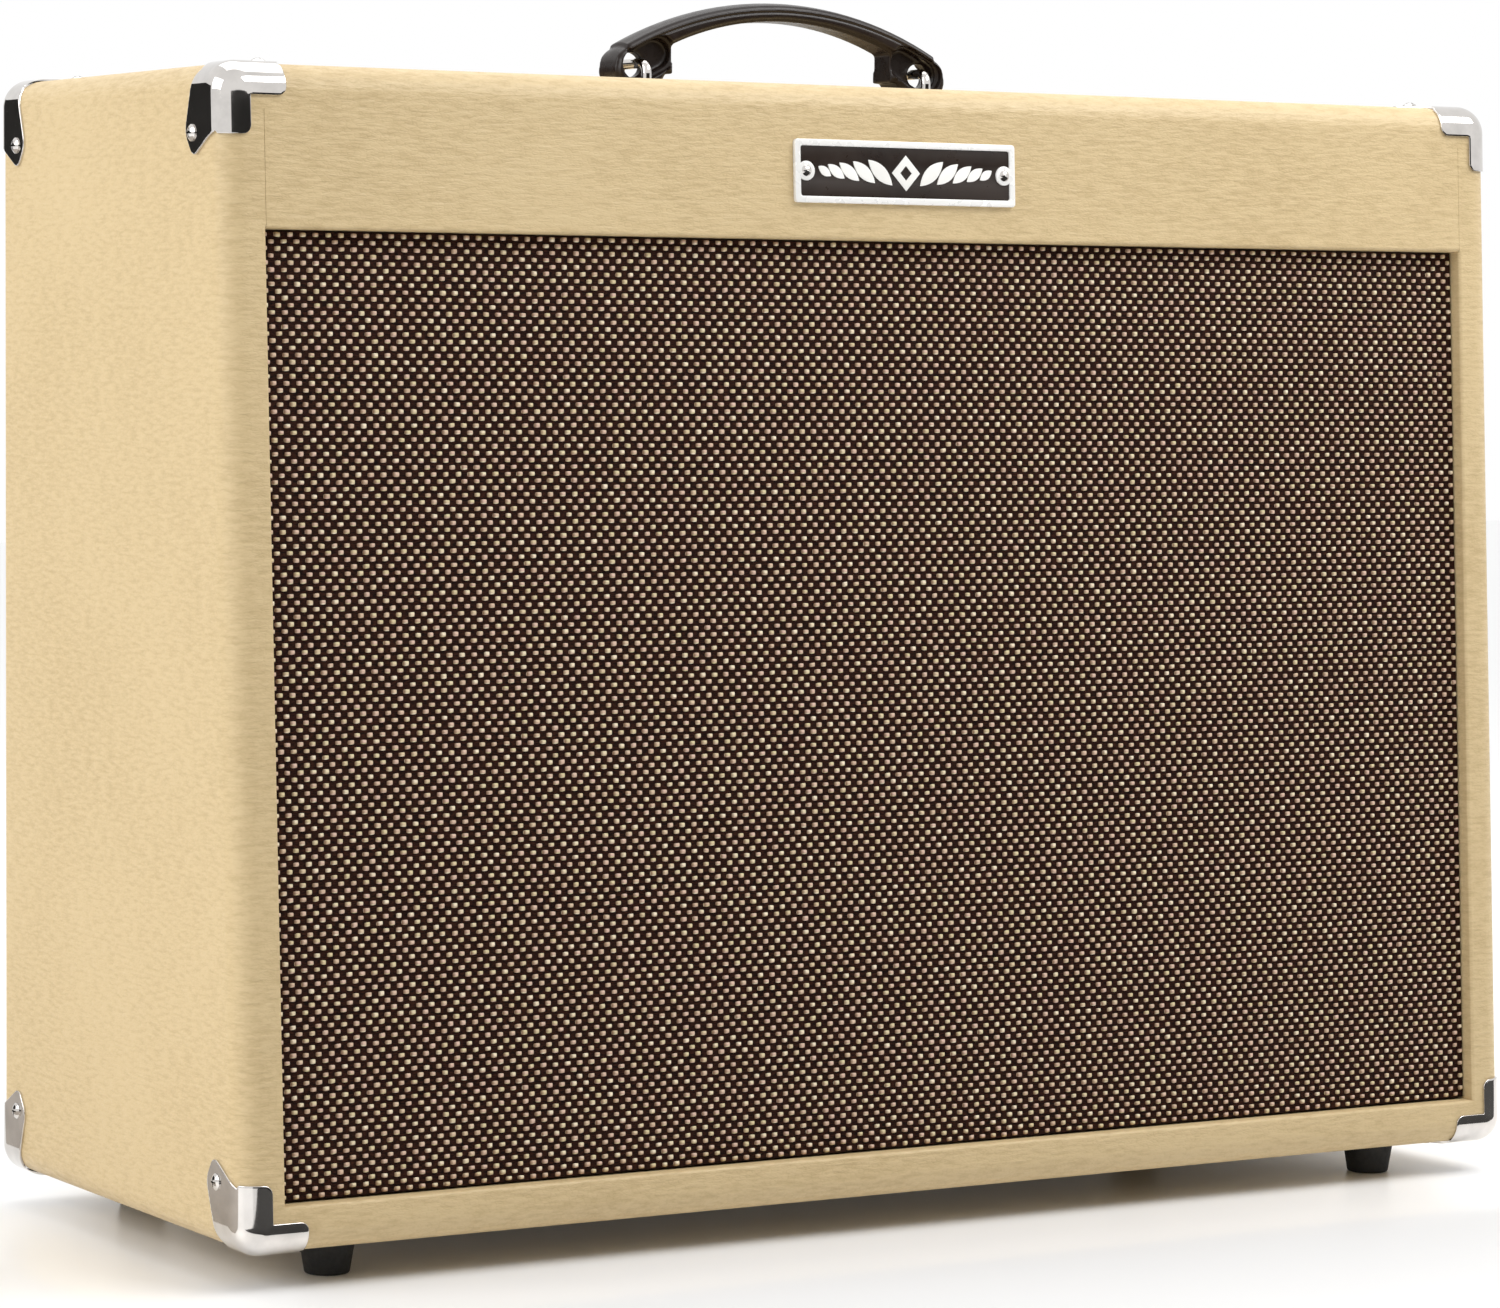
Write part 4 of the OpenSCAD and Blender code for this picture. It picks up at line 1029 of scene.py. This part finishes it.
def makePanelMarks(white):
    low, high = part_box("control_panel")
    pieces = []
    edgeX, edgeY = high.x - knobs["borderInX"], (high.y - low.y) / 2 - knobs["borderInY"]
    middle = Matrix.Translation(((low.x + high.x) / 2, (low.y + high.y) / 2, high.z))
    line, corner = knobs["borderLine"], knobs["borderCorner"]
    border = [roundedRect(2 * edgeX, 2 * edgeY, corner),
              roundedRect(2 * (edgeX - line), 2 * (edgeY - line), corner - line)]
    pieces.append(slab("border", border, knobs["ink"], 0.02 * mm, white, middle))
    for name in knobs["names"]:
        centre = Vector((*shaftPlace(name), high.z))
        for k in range(knobs["ticks"]):
            turn = math.radians(-knobs["sweep"] + 2 * knobs["sweep"] * k / (knobs["ticks"] - 1))
            reach = knobs["tickTo"] - knobs["tickFrom"]
            wide = knobs["longTick"] if k % 5 == 0 else knobs["shortTick"]
            tick = roundedRect(wide, reach, wide * 0.45, 3)
            place = (Matrix.Translation(centre) @ Matrix.Rotation(turn, 4, "Z")
                     @ Matrix.Translation((0, (knobs["tickFrom"] + knobs["tickTo"]) / 2, 0)))
            pieces.append(slab("tick", [tick], knobs["ink"], 0.02 * mm, white, place))
    settle(joined("panelMarks", pieces), "cabinet", "panel_paint")


# Finishes for the pieces that keep their own shape, by the slot they take

# Name, darker and lighter colour, roughness range, grain, bump and anything more, by slot
plain = {
    "black_board": ("blackBoard", (0.009, 0.008, 0.008), (0.022, 0.020, 0.018), (0.5, 0.66), 420.0, 0.45,
        dict(depth=0.25 * mm)),
    "plateMetal": ("plateSilver", (0.88, 0.87, 0.84), (0.95, 0.94, 0.92), (0.24, 0.32), 160.0, 0.03,
        dict(Metallic=0.12)),
    "plateBlack": ("plateEnamel", (0.012, 0.007, 0.005), (0.026, 0.016, 0.011), (0.26, 0.36), 200.0, 0.08),
    "plateWhite": ("plateInlay", (0.82, 0.81, 0.77), (0.95, 0.94, 0.90), (0.3, 0.4), 200.0, 0.05),
    "bright_steel": ("zincSteel", (0.42, 0.41, 0.39), (0.62, 0.61, 0.58), (0.22, 0.4), 260.0, 0.12,
        dict(Metallic=1.0)),
    "handle_plastic": ("handleMoulded", (0.010, 0.006, 0.005), (0.020, 0.013, 0.010), (0.24, 0.34), 240.0,
        0.1, dict(Specular_IOR_Level=0.28)),
    "foot_rubber": ("footRubber", (0.008, 0.008, 0.008), (0.02, 0.019, 0.018), (0.6, 0.8), 500.0, 0.3),
    "chassis_steel": ("chassisSteel", (0.36, 0.36, 0.35), (0.56, 0.56, 0.54), (0.34, 0.5), 90.0, 0.2,
        dict(stretch=(1, 14, 14), Metallic=1.0)),
    "panel_paint": ("panelPaint", (0.045, 0.020, 0.011), (0.075, 0.036, 0.020), (0.3, 0.42), 260.0, 0.12),
    "knob_plastic": ("knobPlastic", (0.009, 0.007, 0.006), (0.02, 0.016, 0.013), (0.22, 0.34), 300.0, 0.1),
    "shaft_metal": ("shaftMetal", (0.50, 0.47, 0.40), (0.68, 0.64, 0.55), (0.25, 0.4), 200.0, 0.1,
        dict(stretch=(1, 1, 20), Metallic=1.0)),
    "lamp_glass": ("lampGlass", (0.55, 0.02, 0.012), (0.8, 0.05, 0.025), (0.06, 0.14), 120.0, 0.05,
        dict(Transmission_Weight=0.35, IOR=1.5)),
    "black_plastic": ("blackPlastic", (0.010, 0.010, 0.010), (0.024, 0.024, 0.024), (0.34, 0.5), 420.0, 0.2),
    "capacitor_sleeve": ("capacitorSleeve", (0.008, 0.014, 0.035), (0.02, 0.032, 0.07), (0.25, 0.4), 150.0,
        0.08),
    "core_iron": ("coreIron", (0.05, 0.045, 0.042), (0.14, 0.125, 0.11), (0.42, 0.6), 120.0, 0.25,
        dict(stretch=(1, 1, 8), Metallic=0.6)),
    "sink_aluminium": ("sinkAluminium", (0.52, 0.53, 0.54), (0.68, 0.69, 0.70), (0.3, 0.45), 110.0, 0.15,
        dict(stretch=(1, 1, 16), Metallic=1.0)),
    "basket_steel": ("basketSteel", (0.018, 0.018, 0.020), (0.045, 0.045, 0.048), (0.36, 0.5), 300.0, 0.2),
    "cone_paper": ("conePaper", (0.018, 0.016, 0.014), (0.05, 0.045, 0.038), (0.8, 0.95), 700.0, 0.6,
        dict(depth=0.3 * mm)),
}
finishes = {
    "vinyl": vinylCloth(),
    "plywood": woodFinish("plywood", srgb(150, 112, 70), srgb(196, 160, 112)),
    "batten_wood": woodFinish("pineBatten", srgb(176, 138, 88), srgb(214, 182, 132), (12, 12, 1)),
    "chrome": chromeFinish(),
    "circuit_green": circuitFinish(),
    "grille_cloth": groundFinish(),
    "yarn": threadFinish(),
}
for slotName, (name, dark, light, roughness, grain, bump, *more) in plain.items():
    finishes[slotName] = simpleFinish(name, (*dark, 1), (*light, 1), roughness, grain, bump, **dict(*more))
print("finishes ready")

makeCamera()
makeStudio()
print("camera, floor and light ready")

makeBoards(finishes["vinyl"], finishes["plywood"])
print("covered boards ready")
makeCaps(finishes["chrome"])
print("corner caps ready")
makeHandle(finishes["handle_plastic"])
makeNameplate(finishes)
makeFeet(finishes["foot_rubber"])
print("handle, nameplate and feet ready")
makeCloth(finishes["grille_cloth"], finishes["yarn"])
makeKnobs(finishes["knob_plastic"], finishes["plateWhite"])
makePanelMarks(finishes["plateWhite"])
print("cloth, knobs and panel marks ready")

eased = {"upper_back_panel": "upperBack", "lower_back_panel": "lowerBack", "baffle_board": "baffle",
         "mounting_battens": "battens", "control_panel": "controlPlate"}
for node, name in eased.items():
    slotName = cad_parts[node].data.materials[0].name
    settle(softened(node, name, [finishes[slotName]]), "cabinet", slotName, node)

for node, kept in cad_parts.items():
    slots = kept.data.materials
    for i, old in enumerate(slots):
        if old.name in finishes:
            slots[i] = finishes[old.name]
for node in ("nameplate_pins", "corner_cap_screws"):
    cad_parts[node].data.materials[0] = finishes["chrome"]
print("kept pieces finished")
